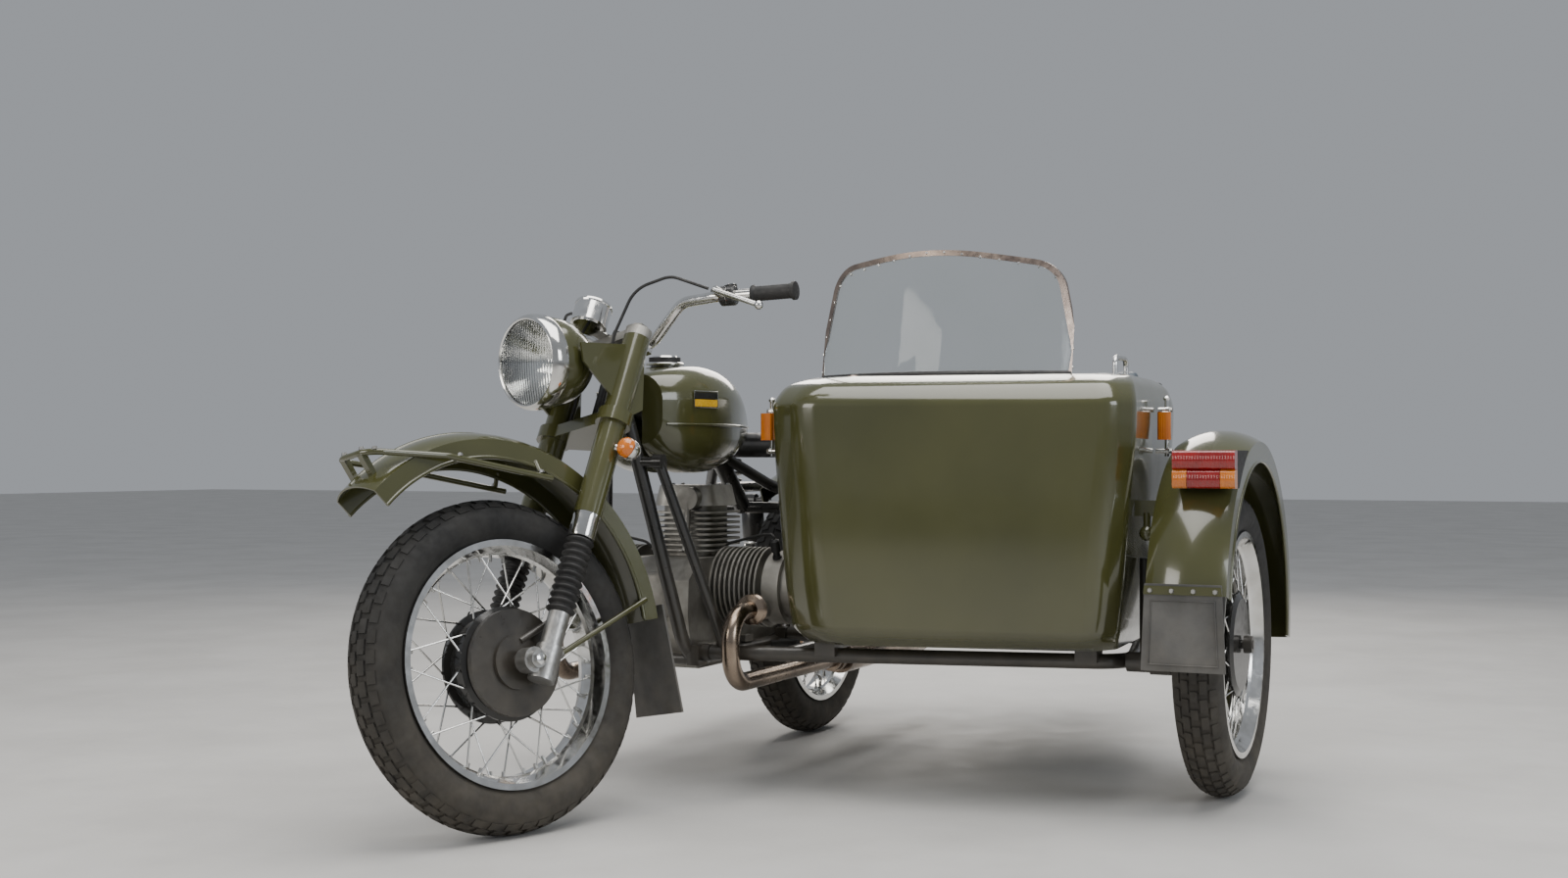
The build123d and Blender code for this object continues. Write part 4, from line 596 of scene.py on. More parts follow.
def make_tyre(name, hub, axle, body):
    """Turns the carcass and stands the rows of blocks on it."""
    base_r = tyre_r - crown_r
    edge_r = base_r + sqrt(crown_r**2 - tread_half**2)
    low_edge = edge_r - 0.003
    wall = arc((bead_half, rim_edge_r), (0.053, (edge_r + rim_edge_r) / 2), (tread_half, low_edge), 10)
    top = arc((tread_half, low_edge), (0, tyre_r - groove), (-tread_half, low_edge), 14)
    ribs = [(u + (0.0012 if k in (3, 5, 7) else 0), r) for k, (u, r) in enumerate(wall)]
    foot_r = 0.2435
    profile = [(bead_half, foot_r)] + ribs + top[1:-1] + [(-u, r) for u, r in reversed(ribs)]
    profile += [(-bead_half, foot_r), (bead_half, foot_r)]
    work = bmesh.new()
    turned(work, profile, hub, axle, around=120)
    stand = Matrix.Translation(hub) @ axle.to_track_quat("Z", "Y").to_matrix().to_4x4()
    for number, (angle, count, length, width) in enumerate(tread_rows):
        a = radians(angle)
        middle = crown_r - 0.0048
        rows = grown(row_tree, bpy.data.meshes.new("row"), Count=count, Radius=base_r + middle * cos(a),
                     Aside=middle * sin(a), Tilt=-a, Phase=pi / count * (number % 2),
                     Block=(length, width, 0.008), Finish=tyre_rubber)
        rows.transform(stand)
        work.from_mesh(rows)
    return show(work, name, body, tyre_rubber, [name.replace("_tread", "")], sharp_deg=30)


front_spin = joints["front_wheel_spin"]
wheel_table = [
    # name, hub, axle, body
    ("front", Vector(front_spin["pos_m"]), Vector(front_spin["axis"]), "front_wheel_body"),
    ("rear", rear_hub, left, "rear_wheel_body"),
    ("sidecar", side_hub, left, "sidecar_wheel_body"),
]
for wheel, hub, axle, body in wheel_table:
    make_tyre(wheel + "_tyre_tread", hub, axle.normalized(), body)
    dress(wheel + "_wheel", wheel_finish(wheel + "_rim_and_hub", hub))

# %% [markdown]
# ### Spoke nipples
# A spoke ends in a small brass or steel nipple at the rim. They are heads on marks too, at the same
# angles as the spokes.

# %% Nipples round each rim
spoke_pairs = 10
nipple_r = 0.2255
for wheel, hub, axle, body in wheel_table:
    axle = axle.normalized()
    turn = Matrix.Rotation(-rest_turn if wheel == "front" else 0, 3, fork_up)
    marks = []
    for side in (1, -1):
        for number in range(spoke_pairs):
            for way in (1, -1):
                angle = radians(360 / spoke_pairs * (number + side / 4) + way * 32)
                out = turn @ Vector((cos(angle), 0, sin(angle)))
                marks.append((hub + out * nipple_r + axle * side * 0.009, -out))
    heads(wheel + "_nipples", marks, body, worn_steel, radius=0.0042, height=0.012, sides=8)

# %% [markdown]
# ## Rubber sleeves
# Fork gaiters and the bellows of the sidecar's damper are ribbed rubber sleeves. A ribbed sleeve is a
# turned profile whose radius swings between two values, and a cosine gives the soft round folds of rubber.


# %% Gaiters, bellows and grips
def sleeve(work, start, end, small_r, large_r, ribs, steps=8):
    """A ribbed sleeve between two places."""
    run = end - start
    count = ribs * steps
    profile = [(0, 0)]
    for k in range(count + 1):
        swing = (1 - cos(2 * pi * k / steps)) / 2
        profile.append((run.length * k / count, small_r + (large_r - small_r) * swing))
    profile.append((run.length, 0))
    turned(work, profile, start, run, around=32)


leg_y = 0.106
fork_lead = 0.045
gaiter_foot, gaiter_head = 0.1183, 0.2897
work = bmesh.new()
for side in (1, -1):
    sleeve(work, in_fork(fork_lead, side * leg_y, gaiter_foot), in_fork(fork_lead, side * leg_y, gaiter_head),
           0.0235, 0.0312, 11)
show(work, "gaiter_folds", "front_end", black_rubber, ["fork_gaiters"], sharp_deg=60,
     turn=turning)

low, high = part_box("damper_bellows")
middle = (low + high) / 2
work = bmesh.new()
sleeve(work, Vector((middle.x, middle.y, low.z)), Vector((middle.x, middle.y, high.z - 0.026)), 0.017,
       0.0242, 9)
turned(work, [(0, 0), (0, 0.014), (0.030, 0.014), (0.030, 0)], Vector((middle.x, middle.y, high.z - 0.030)),
       up)
show(work, "bellows_folds", "chassis", black_rubber, ["damper_bellows"], sharp_deg=60)

yoke_high = 0.7863
bar_top = yoke_high + 0.044
grip_table = [
    # side, root and end of the grip in the fork's directions
    (side, in_fork(-0.062, side * 0.326, bar_top + 0.075), in_fork(-0.104, side * 0.426, bar_top + 0.081))
    for side in (1, -1)
]
work = bmesh.new()
for side, root, tip in grip_table:
    way = (tip - root).normalized()
    start = root + way * 0.009
    length = (tip - root).length - 0.004
    profile = [(0, 0.0128), (0, 0.0195), (0.004, 0.0205), (0.008, 0.017)]
    for k in range(24):
        profile.append((0.010 + (length - 0.022) * k / 24, 0.0162 + 0.0008 * (k % 2)))
    profile += [(length - 0.010, 0.017), (length - 0.008, 0.0208), (length - 0.001, 0.0205),
                (length, 0.017), (length, 0)]
    turned(work, profile, start, way, around=28)
show(work, "grip_rubbers", "front_end", black_rubber, ["grips"], turn=turning)

# %% [markdown]
# ## The headlamp
# The lamp is a painted bowl with a chromed rim, a mirror inside and a fluted lens. Solids stand in for
# it, so it is turned again here in layers: someone who looks into the lens sees mirror and bulb.

# %% Bowl, rim, mirror, bulb and lens
lamp = at(1.240, 0, 0.985)
rim_r, bowl_r, glass_r = 0.106, 0.100, 0.0925
back = arc((-0.082, 0.0), (-0.042, 0.072), (0.050, bowl_r), 14)
work = bmesh.new()
turned(work, back + [(0.076, bowl_r), (0.076, bowl_r - 0.003), (0.048, bowl_r - 0.003)]
       + [(x + 0.004, r * 0.95) for x, r in reversed(back[1:-1])] + [(-0.077, 0)], lamp, forward, around=64)
for side in (1, -1):
    turned(work, [(0, 0), (0, 0.012), (0.012, 0.012), (0.012, 0)], lamp + left * side * 0.0975, left * side)
show(work, "headlamp_bowl", "front_end", green_paint, ["headlamp"], turn=turning)
work = bmesh.new()
turned(work, [(0.052, 0.1005), (0.052, 0.1045), (0.056, rim_r), (0.070, rim_r), (0.080, 0.1045),
              (0.089, 0.0995),
              (0.091, 0.096), (0.089, 0.0930), (0.082, 0.0930), (0.078, 0.0975), (0.062, 0.1005),
              (0.052, 0.1005)],
       lamp, forward, around=72)
show(work, "headlamp_rim", "front_end", chrome, turn=turning)
bowl = [(0.080 - 0.078 * (1 - (r / glass_r) ** 2), r) for r in [glass_r * k / 12 for k in range(13)]]
work = bmesh.new()
turned(work, bowl + [(x - 0.0015, r) for x, r in reversed(bowl)], lamp, forward, around=64)
turned(work, [(0.006, 0), (0.006, 0.010), (0.030, 0.010), (0.034, 0.014), (0.040, 0.014), (0.040, 0)], lamp,
       forward)
show(work, "headlamp_mirror", "front_end", mirror, turn=turning)
dome = arc((0.0853, glass_r), (0.0950, glass_r / 2), (0.0983, 0.0), 10)
work = bmesh.new()
turned(work, [(0.0983, 0.0)] + dome[::-1][1:] + [(0.0825, glass_r - 0.001)]
       + [(x - 0.0035, r * 0.97) for x, r in dome[1:-1]] + [(0.0945, 0)], lamp, forward, around=64)
show(work, "headlamp_glass", "front_end", lamp_glass, ["headlamp_lens"], turn=turning)

# %% [markdown]
# ## Instrument and indicators
# The round instrument sits in a chromed cup behind the lamp and faces the rider. Its dial has bare tick
# marks, made as heads on a ring of marks. The indicators are amber lenses in chromed cups.

# %% Instrument ring, dial and knob
pod = in_fork(0.110, 0, yoke_high + 0.026 + 0.046)
work = bmesh.new()
turned(work, [(0.0, 0.034), (0.0, 0.0425), (0.003, 0.0440), (0.008, 0.0425), (0.008, 0.036), (0.003, 0.034),
              (0.0, 0.034)],
       pod, fork_up, around=48)
show(work, "instrument_ring", "front_end", chrome, turn=turning)
work = bmesh.new()
turned(work, [(0.0003, 0), (0.0003, 0.0335), (0.0020, 0.0335), (0.0020, 0)], pod, fork_up, around=48)
turned(work, [(0.002, 0), (0.002, 0.009), (0.014, 0.008), (0.017, 0.004), (0.017, 0)],
       in_fork(0.052, 0.03, yoke_high + 0.022),
       fork_up, around=20)
show(work, "instrument_dial", "front_end", black_paint, turn=turning)
marks = [(turning @ (pod + fork_up * 0.002 + (fork_out * cos(a) + left * sin(a)) * 0.028),
          turning.to_3x3() @ fork_up)
         for a in [radians(-120 + 20 * k) for k in range(13)]]
heads("dial_ticks", marks, "front_end", plate_white, radius=0.0013, height=0.0006, sides=4)

# %% Front indicators
cups, lenses = bmesh.new(), bmesh.new()
for side in (1, -1):
    root = in_fork(0, side * 0.162, 0.505)
    turned(cups, [(0, 0), (0.001, 0.010), (0.006, 0.018), (0.016, 0.0225), (0.026, 0.0235), (0.028, 0.0235),
                  (0.028, 0)],
           root, fork_out)
    turned(lenses, [(0.0285, 0), (0.0285, 0.0220), (0.040, 0.0215), (0.048, 0.015), (0.052, 0.005),
                    (0.052, 0)],
           root, fork_out)
    swept(cups, [in_fork(fork_lead, side * 0.1365, 0.505), in_fork(0.022, side * 0.150, 0.505),
                 in_fork(0.012, side * 0.158, 0.505)],
          0.0075)
show(cups, "indicator_cups", "front_end", chrome, ["front_indicators"], turn=turning)
show(lenses, "indicator_lenses", "front_end", amber_lens, turn=turning)

# %% [markdown]
# ## Bar fittings and cables
# The chromed bar carries black switch housings beside the grips, each held by a clamp and screws.

# %% Perches, clamp screws, collars and nuts
work = bmesh.new()
marks = []
for side in (1, -1):
    bend = in_fork(-0.028, side * 0.252, bar_top + 0.070)
    end = in_fork(-0.062, side * 0.326, bar_top + 0.075)
    way = (end - bend).normalized()
    start = bend + (end - bend) * 0.18
    turned(work, [(0, 0), (0, 0.0195), (0.003, 0.0225), (0.016, 0.0225), (0.017, 0.0205), (0.019, 0.0225),
                  (0.033, 0.0225),
                  (0.036, 0.0195), (0.036, 0)], start, way)
    round_box(work, start + way * 0.018 + fork_up * 0.018, (0.024, 0.026, 0.018), 0.004)
    marks += [(turning @ (start + way * x + fork_up * 0.0270), turning.to_3x3() @ fork_up)
              for x in (0.012, 0.024)]
show(work, "switch_housings", "front_end", black_paint, turn=turning)
for side in (1, -1):
    for ahead in (-0.012, 0.012):
        marks.append((turning @ in_fork(-0.024 + ahead, side * 0.042, yoke_high + 0.0575),
                      turning.to_3x3() @ fork_up))
heads("bar_screws", marks, "front_end", worn_steel, radius=0.0042, height=0.005)
work = bmesh.new()
for side in (1, -1):
    turned(work, [(0, 0.0228), (0, 0.0285), (0.004, 0.0295), (0.040, 0.0290), (0.046, 0.0300),
                  (0.054, 0.0300),
                  (0.054, 0.0228), (0, 0.0228)], in_fork(fork_lead, side * leg_y, 0.2905), fork_up)
    turned(work, [(0, 0), (0, 0.013), (0.008, 0.013), (0.010, 0.008), (0.010, 0)],
           front_hub + left * side * (leg_y + 0.0305), left * side, around=6)
show(work, "fork_collars", "front_end", chrome, turn=turning)

# %% [markdown]
# ## Guards over the wheels
# A pressed mudguard has a rolled bead on its edge, which keeps the thin sheet stiff and blunt. A bead is a
# rod swept along the edge. The front guard also carries a raised rib along its middle, and bolts where its
# rail and stays are fixed.


# %% Beads, rib and bolts of the guards
def ring_path(centre, radius, first_deg, last_deg, aside, steps=48):
    """Places on an upright ring, from one angle over the front to another behind."""
    angles = [radians(first_deg + (last_deg - first_deg) * k / steps) for k in range(steps + 1)]
    return [centre + Vector((radius * cos(a), aside, radius * sin(a))) for a in angles]


def edge_beads(name, body, centre, half_w, inner_r, first_deg, last_deg, rib_r=None, turn=None):
    """Two beads along a guard's lower edges, one over its front tip, and a rib if it has one."""
    work = bmesh.new()
    for side in (1, -1):
        swept(work, ring_path(centre, inner_r, first_deg, last_deg, side * (half_w - 0.001)), 0.0042)
    if rib_r:
        swept(work, ring_path(centre, rib_r - 0.0022, first_deg + 1, last_deg - 1, 0), 0.0060)
    show(work, name, body, green_paint, turn=turn)


front_guard = front_hub + Vector((0.025, 0, 0.052))
edge_beads("front_guard_beads", "front_end", front_guard, 0.070, 0.373, 50, 179.5, 0.435, turning)
edge_beads("rear_guard_beads", "chassis", rear_hub + Vector((0, 0, 0.020)), 0.078, 0.310, 62, 192)
side_guard = side_hub + Vector((0.024, 0.002, 0.054))
edge_beads("side_guard_beads", "chassis", side_guard, 0.084, 0.362, 12, 190)

facing_up = turning.to_3x3() @ up
marks = []
for side in (1, -1):
    for ahead, high in ((-0.110, 0.3865), (0.090, 0.4285), (0.270, 0.4515)):
        aside = 0.084 if ahead < 0.2 else 0.058
        marks.append((turning @ (front_hub + Vector((ahead, side * aside, high))), facing_up))
    marks.append((turning @ (front_hub + Vector((0.283, side * 0.032, 0.4555))), facing_up))
heads("guard_rail_bolts", marks, "front_end", worn_steel, radius=0.0068, height=0.006)

flap_low, flap_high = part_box("sidecar_mudflap")
marks = [(Vector((flap_high.x + 0.0025, flap_low.y + 0.02 + (flap_high.y - flap_low.y - 0.04) * k / 3,
                  flap_high.z - 0.014)),
          forward) for k in range(4)]
heads("flap_screws", marks, "chassis", worn_steel, radius=0.0062, height=0.004)
work = bmesh.new()
prism(work, [Vector((flap_high.x + touch, flap_low.y + 0.006, flap_high.z - 0.022)),
             Vector((flap_high.x + touch, flap_high.y - 0.006, flap_high.z - 0.022)),
             Vector((flap_high.x + touch, flap_high.y - 0.008, flap_high.z - 0.004)),
             Vector((flap_high.x + touch, flap_low.y + 0.008, flap_high.z - 0.004))], forward * 0.002)
show(work, "flap_strip", "chassis", green_paint)
work = bmesh.new()
corners = [Vector((flap_high.x + touch, flap_low.y + 0.022, flap_high.z - 0.034)),
           Vector((flap_high.x + touch, flap_high.y - 0.022, flap_high.z - 0.034)),
           Vector((flap_high.x + touch, flap_high.y - 0.016, flap_low.z + 0.014)),
           Vector((flap_high.x + touch, flap_low.y + 0.016, flap_low.z + 0.014))]
swept(work, corners, 0.0022, closed=True, around=8)
show(work, "flap_border", "chassis", flap_rubber)

# %% [markdown]
# ## The tank
# A seam runs round the pressed tank where its two halves are welded, and a blank two-colour badge sits on
# each flank. Both have to lie on a curved skin, so a straight line is shot at the tank from outside and
# the pieces stand where it lands.

# %% Seam, badges and cap ring
seam_z = 0.846
work = bmesh.new()
for side in (1, -1):
    path = []
    for k in range(34):
        x = 0.566 + (1.004 - 0.566) * k / 33
        place, normal = on_skin("tank", at(x, side * 0.30, seam_z), -left * side)
        if place:
            path.append(place + normal * 0.0005)
    swept(work, path, 0.0034)
show(work, "tank_seam", "chassis", green_paint)

badge_x, badge_z = 0.905, 0.905
for side, flank in ((1, "left"), (-1, "right")):
    place, normal = on_skin("tank", at(badge_x, side * 0.30, badge_z), -left * side)
    rise = (up - normal * normal.dot(up)).normalized()
    run = rise.cross(normal)
    lean = Matrix((run, rise, normal)).transposed()
    for part, drop, tall, coat in (("upper", 0.0085, 0.015, black_paint),
                                   ("lower", -0.0085, 0.016, badge_yellow)):
        work = bmesh.new()
        round_box(work, place + rise * drop + normal * 0.0012, (0.078, tall, 0.003), 0.0025, lean=lean)
        show(work, f"{flank}_badge_{part}", "chassis", coat)
    work = bmesh.new()
    edge = [place + run * x + rise * y + normal * 0.002 for x, y in
            ((0.041, 0.0185), (-0.041, 0.0185), (-0.041, -0.0185), (0.041, -0.0185))]
    swept(work, edge, 0.0015, closed=True, around=8)
    show(work, f"{flank}_badge_rim", "chassis", chrome)

low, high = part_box("tank_cap")
middle = (low + high) / 2
work = bmesh.new()
turned(work, [(-0.004, 0.0385), (-0.004, 0.046), (0, 0.047), (0.003, 0.044), (0.004, 0.0385),
              (-0.004, 0.0385)],
       Vector((middle.x, middle.y, low.z + 0.001)), up)
turned(work, [(0, 0), (0, 0.031), (0.004, 0.028), (0.006, 0.012), (0.006, 0)],
       Vector((middle.x, middle.y, high.z)), up)
show(work, "cap_ring", "chassis", chrome)

# %% [markdown]
# ## Engine and exhaust details
# The finned cylinders are solids of the model. What brings them to life is what is screwed to them:
# bolts, a spark plug with its cap, a clamp round each exhaust port, and covers on the block's sides.

# %% Covers, plugs and clamps
barrel_x, barrel_z, pipe_y = 0.740, 0.460, 0.235
covers, plugs, clamps, marks = bmesh.new(), bmesh.new(), bmesh.new(), []
for side in (1, -1):
    face = at(0.640, side * 0.092, 0.395)
    turned(covers, [(0, 0), (0, 0.082), (0.006, 0.082), (0.012, 0.074), (0.016, 0.050), (0.018, 0)], face,
           left * side)
    marks += [(face + Vector((0.074 * cos(a), side * 0.0085, 0.074 * sin(a))), left * side)
              for a in [2 * pi * k / 8 for k in range(8)]]
    cover = at(barrel_x, side * 0.330, barrel_z)
    turned(covers, [(-0.010, 0), (-0.010, 0.0725), (0, 0.0715), (0.004, 0.066), (0.006, 0.040), (0.006, 0)],
           cover, left * side)
    marks += [(cover + Vector((0.052 * cos(a), side * 0.005, 0.052 * sin(a))), left * side)
              for a in [pi / 4 + pi / 2 * k for k in range(4)]]
    root = at(barrel_x + 0.045, side * 0.268, barrel_z + 0.070)
    lean = Vector((0.35, 0, 0.94))
    turned(plugs, [(-0.006, 0), (-0.006, 0.011), (0.008, 0.011), (0.010, 0.008), (0.020, 0.008),
                   (0.020, 0.012),
                   (0.046, 0.011), (0.050, 0.006), (0.050, 0)], root, lean, around=20)
    swept(plugs, rounded([root + lean * 0.046, root + lean * 0.062, at(0.760, side * 0.215, 0.585),
                          at(0.735, side * 0.105, 0.560), at(0.735, side * 0.088, 0.520)], 0.020), 0.0035)
    port = at(barrel_x + 0.104, side * pipe_y, barrel_z - 0.045)
    turned(clamps, [(0, 0.0215), (0, 0.034), (0.004, 0.036), (0.008, 0.031), (0.012, 0.036), (0.016, 0.031),
                    (0.020, 0.035), (0.026, 0.0215), (0, 0.0215)], port, forward)
    turned(clamps, [(0, 0.0305), (0, 0.0335), (0.018, 0.0335), (0.018, 0.0305), (0, 0.0305)],
           at(0.362, side * pipe_y, 0.252), forward)
show(covers, "engine_covers", "chassis", cast_metal)
show(plugs, "plug_caps_and_leads", "chassis", black_rubber)
show(clamps, "exhaust_clamps", "chassis", heat_chrome)
face = at(0.9025, 0, 0.440)
work = bmesh.new()
turned(work, [(-0.03, 0), (-0.03, 0.060), (0.008, 0.060), (0.014, 0.052), (0.018, 0.020), (0.018, 0)], face,
       forward)
show(work, "timing_cover", "chassis", cast_metal)
marks += [(face + Vector((0.009, 0.054 * cos(a), 0.054 * sin(a))), forward)
          for a in [2 * pi * k / 6 for k in range(6)]]
for number in range(3):
    for side in (1, -1):
        marks.append((at(0.690 + 0.05 * (number - 1), side * 0.064, 0.7015), up))
heads("engine_bolts", marks, "chassis", worn_steel, radius=0.0058, height=0.006)

# %% [markdown]
# ## Coil springs
# A coil is a spiral with a round section, and Geometry Nodes have both. The same tree makes the springs
# of the rear dampers and the short ones under the saddles: only their height, radius and turns differ.

# %% The tree that winds a spring
coil_tree, given = node_tree("wound_spring", [
    ("Height", "NodeSocketFloat", 0.2), ("Radius", "NodeSocketFloat", 0.03),
    ("Turns", "NodeSocketFloat", 9.0),
    ("Wire", "NodeSocketFloat", 0.004), ("Finish", "NodeSocketMaterial", None),
])
spiral = coil_tree.nodes.new("GeometryNodeCurveSpiral")
spiral.inputs["Resolution"].default_value = 24
section = coil_tree.nodes.new("GeometryNodeCurvePrimitiveCircle")
section.inputs["Resolution"].default_value = 8
wound = coil_tree.nodes.new("GeometryNodeCurveToMesh")
wound.inputs["Fill Caps"].default_value = True
for label, socket in (("Height", "Height"), ("Radius", "Start Radius"), ("Radius", "End Radius"),
                      ("Turns", "Rotations")):
    coil_tree.links.new(given.outputs[label], spiral.inputs[socket])
coil_tree.links.new(given.outputs["Wire"], section.inputs["Radius"])
coil_tree.links.new(spiral.outputs["Curve"], wound.inputs["Curve"])
coil_tree.links.new(section.outputs["Curve"], wound.inputs["Profile Curve"])
close_tree(coil_tree, given, wound.outputs["Mesh"])


def springs(name, places, radius, turns, wire, material):
    """Winds a spring between each pair of places."""
    work = bmesh.new()
    for foot, top in places:
        run = top - foot
        mesh = grown(coil_tree, bpy.data.meshes.new("coil"), Height=run.length, Radius=radius, Turns=turns,
                     Wire=wire,
                     Finish=material)
        mesh.transform(Matrix.Translation(foot) @ run.to_track_quat("Z", "Y").to_matrix().to_4x4())
        work.from_mesh(mesh)
    return show(work, name, "chassis", material, sharp_deg=60)


# %% Wind the dampers' and the saddles' springs
damper_y = 0.142
places = []
shrouds = bmesh.new()
for side in (1, -1):
    foot = at(0.046, side * damper_y, tyre_r + 0.008)
    top = at(0.085, side * damper_y, 0.650)
    way = (top - foot).normalized()
    places.append((foot + way * 0.060, top - way * 0.112))
    turned(shrouds, [(0, 0), (0, 0.0295), (0.004, 0.0315), (0.082, 0.0315), (0.086, 0.0295), (0.086, 0)],
           top - way * 0.114, way)
springs("damper_springs", places, 0.0285, 7.5, 0.0042, chrome)
show(shrouds, "damper_shrouds", "chassis", black_paint)
places = []
for x, under in ((0.295, 0.772), (-0.070, 0.790)):
    for side in (1, -1):
        places.append((at(x, side * 0.095, 0.706), at(x, side * 0.095, under + 0.004)))
springs("saddle_springs", places, 0.020, 4.0, 0.0032, worn_steel)

# %% [markdown]
# ## Cushions
# Leather over foam swells between its seams. So each cushion starts as a plain blank, a little smaller
# than the solid that holds its place, and a cloth simulation blows it up for twenty frames. How far a
# point may move is capped, so the cushion stays inside its space. Seams come last, pressed into the skin.


# %% Fill a blank and press its seams
def stuffed(name, outline, push, body, material, node, cap, seams=(), voxel=0.0065):
    """Makes a cushion of a flat outline pushed through a thickness. seams are (point, way across) pairs."""
    work = bmesh.new()
    prism(work, outline, push)
    bmesh.ops.recalc_face_normals(work, faces=work.faces)
    blank = bpy.data.meshes.new(name + "_blank")
    work.to_mesh(blank)
    work.free()
    holder = bpy.data.objects.new(name + "_blank", blank)
    bpy.context.scene.collection.objects.link(holder)
    remesh = holder.modifiers.new("even", "REMESH")
    remesh.mode = "VOXEL"
    remesh.voxel_size = voxel
    even = bpy.data.meshes.new_from_object(holder.evaluated_get(bpy.context.evaluated_depsgraph_get()))
    holder.modifiers.clear()
    work = bmesh.new()
    work.from_mesh(even)
    for turn in range(10):
        bmesh.ops.smooth_vert(work, verts=work.verts, factor=0.5, use_axis_x=True, use_axis_y=True,
                              use_axis_z=True)
    work.to_mesh(even)
    work.free()
    rest = [vertex.co.copy() for vertex in even.vertices]
    holder.data = even
    cloth = holder.modifiers.new("fill", "CLOTH")
    cloth.settings.use_pressure = True
    cloth.settings.uniform_pressure_force = 4.0
    cloth.settings.effector_weights.gravity = 0
    cloth.settings.quality = 4
    cloth.point_cache.frame_start = 1
    cloth.point_cache.frame_end = 20
    for moment in range(1, 21):
        bpy.context.scene.frame_set(moment)
    filled = bpy.data.meshes.new_from_object(holder.evaluated_get(bpy.context.evaluated_depsgraph_get()))
    holder.modifiers.clear()
    for vertex, start in zip(filled.vertices, rest):
        move = vertex.co - start
        if move.length > cap:
            vertex.co = start + move * (cap / move.length)
    even = filled
    bpy.data.objects.remove(holder)
    ways = [vertex.normal.copy() for vertex in even.vertices]
    for vertex, way in zip(even.vertices, ways):
        for point, across, depth, shown in seams:
            if way.dot(shown) > 0.25:
                near = (vertex.co - point).dot(across) / 0.007
                vertex.co -= way * depth * exp(-near * near)
    piece = show_mesh(even, name, body, material, [node], sharp_deg=180)
    finer = piece.modifiers.new("finer", "SUBSURF")
    finer.levels = 1
    finer.render_levels = 1
    return piece


# %% The sidecar's seat and backrest
low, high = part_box("sidecar_seat")
inset = 0.010
outline = [Vector((x, y, low.z + 0.006)) for x, y in (
    (low.x + inset, low.y + inset), (high.x - inset, low.y + inset), (high.x - inset, high.y - inset),
    (low.x + inset, high.y - inset))]
span = high.y - low.y
seams = [(Vector((0, low.y + span * k / 6, 0)), left, 0.006, up) for k in range(1, 6)]
stuffed("sidecar_seat_cushion", outline, up * (high.z - low.z - 0.016), "chassis", blue_leather,
        "sidecar_seat", cap=0.009, seams=seams, voxel=0.008)

low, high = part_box("sidecar_backrest")
profile = [(low.x + 0.008, low.z + 0.008), (high.x - 0.010, low.z + 0.008), (high.x - 0.010, low.z + 0.190),
           (high.x - 0.013, low.z + 0.445), (high.x - 0.026, high.z - 0.030),
           (high.x - 0.045, high.z - 0.010),
           (low.x + 0.020, high.z - 0.009), (low.x + 0.008, high.z - 0.030)]
outline = [Vector((x, high.y - 0.008, z)) for x, z in profile]
seams = [(Vector((0, low.y + (high.y - low.y) * k / 7, 0)), left, 0.007, (forward + up).normalized())
         for k in range(1, 7)]
stuffed("sidecar_back_cushion", outline, -left * (high.y - low.y - 0.016), "chassis", blue_leather,
        "sidecar_backrest", cap=0.008, seams=seams, voxel=0.008)

# %% The two saddles
for node, front, back, half_w, under in (("rider_saddle", 0.530, 0.235, 0.140, 0.772),
                                         ("pillion_saddle", 0.170, -0.130, 0.125, 0.790)):
    shape = [(front - 0.010, 0.026), (front - 0.010, -0.026), (back + 0.112, 0.012 - half_w),
             (back + 0.020, 0.010 - half_w),
             (back + 0.010, 0.035 - half_w), (back + 0.010, half_w - 0.035), (back + 0.020, half_w - 0.010),
             (back + 0.112, half_w - 0.012)]
    outline = [at(x, y, under + 0.006) for x, y in shape]
    seams = [(at(0, 0, under + 0.040), up, 0.004, side * left) for side in (1, -1)]
    seams.append((at(back + 0.105, 0, 0), forward, 0.004, up))
    stuffed(node + "_cushion", outline, up * 0.048, "chassis", black_leather, node,
            cap=0.008,
            seams=seams, voxel=0.006)

# %% [markdown]
# ## The sidecar's shell
# The real shell is pressed from sheet steel. Its nose, sides and tail flow into each other, and its upper
# edge rolls over into the deck with no crease. The solid that stands for it is a loft with flat bands, so
# the shell is made again over the same levels, with a smooth curve between them. It has to stay hollow,
# with the same cockpit and boot, so a closed outer form is carved by a closed inner one, and both openings
# are cut through the deck.

# %% Outline of the shell at any height
deck_z = 0.952
body_in, body_out = 0.300, 1.135
shell_wall = 0.010
shell_plan = [
    # x, y, corner radius, nose share, side (1 inner wall, -1 outer wall), tail share
    (-0.600, body_in + 0.120, 0.120, 0, 1, 1),
    (0.640, body_in, 0.400, 0, 1, 0),
    (0.955, body_in + 0.025, 0.085, 1, 1, 0),
    (1.015, body_in + 0.130, 0.105, 1, 1, 0),
    (0.905, body_out - 0.035, 0.065, 1, -1, 0),
    (0.840, body_out, 0.060, 1, -1, 0),
    (0.380, body_out - 0.020, 0.500, 0, -1, 0),
    (-0.600, body_out - 0.255, 0.140, 0, -1, 1),
]
shell_levels = [
    # height, nose, sides and tail drawn in by
    (0.352, 0.070, 0.060, 0.060),
    (0.400, 0.014, 0.040, 0.020),
    (0.640, 0.000, 0.018, 0.008),
    (0.880, 0.000, 0.000, 0.000),
    (0.925, 0.030, 0.012, 0.025),
    (deck_z, 0.120, 0.045, 0.060),
]


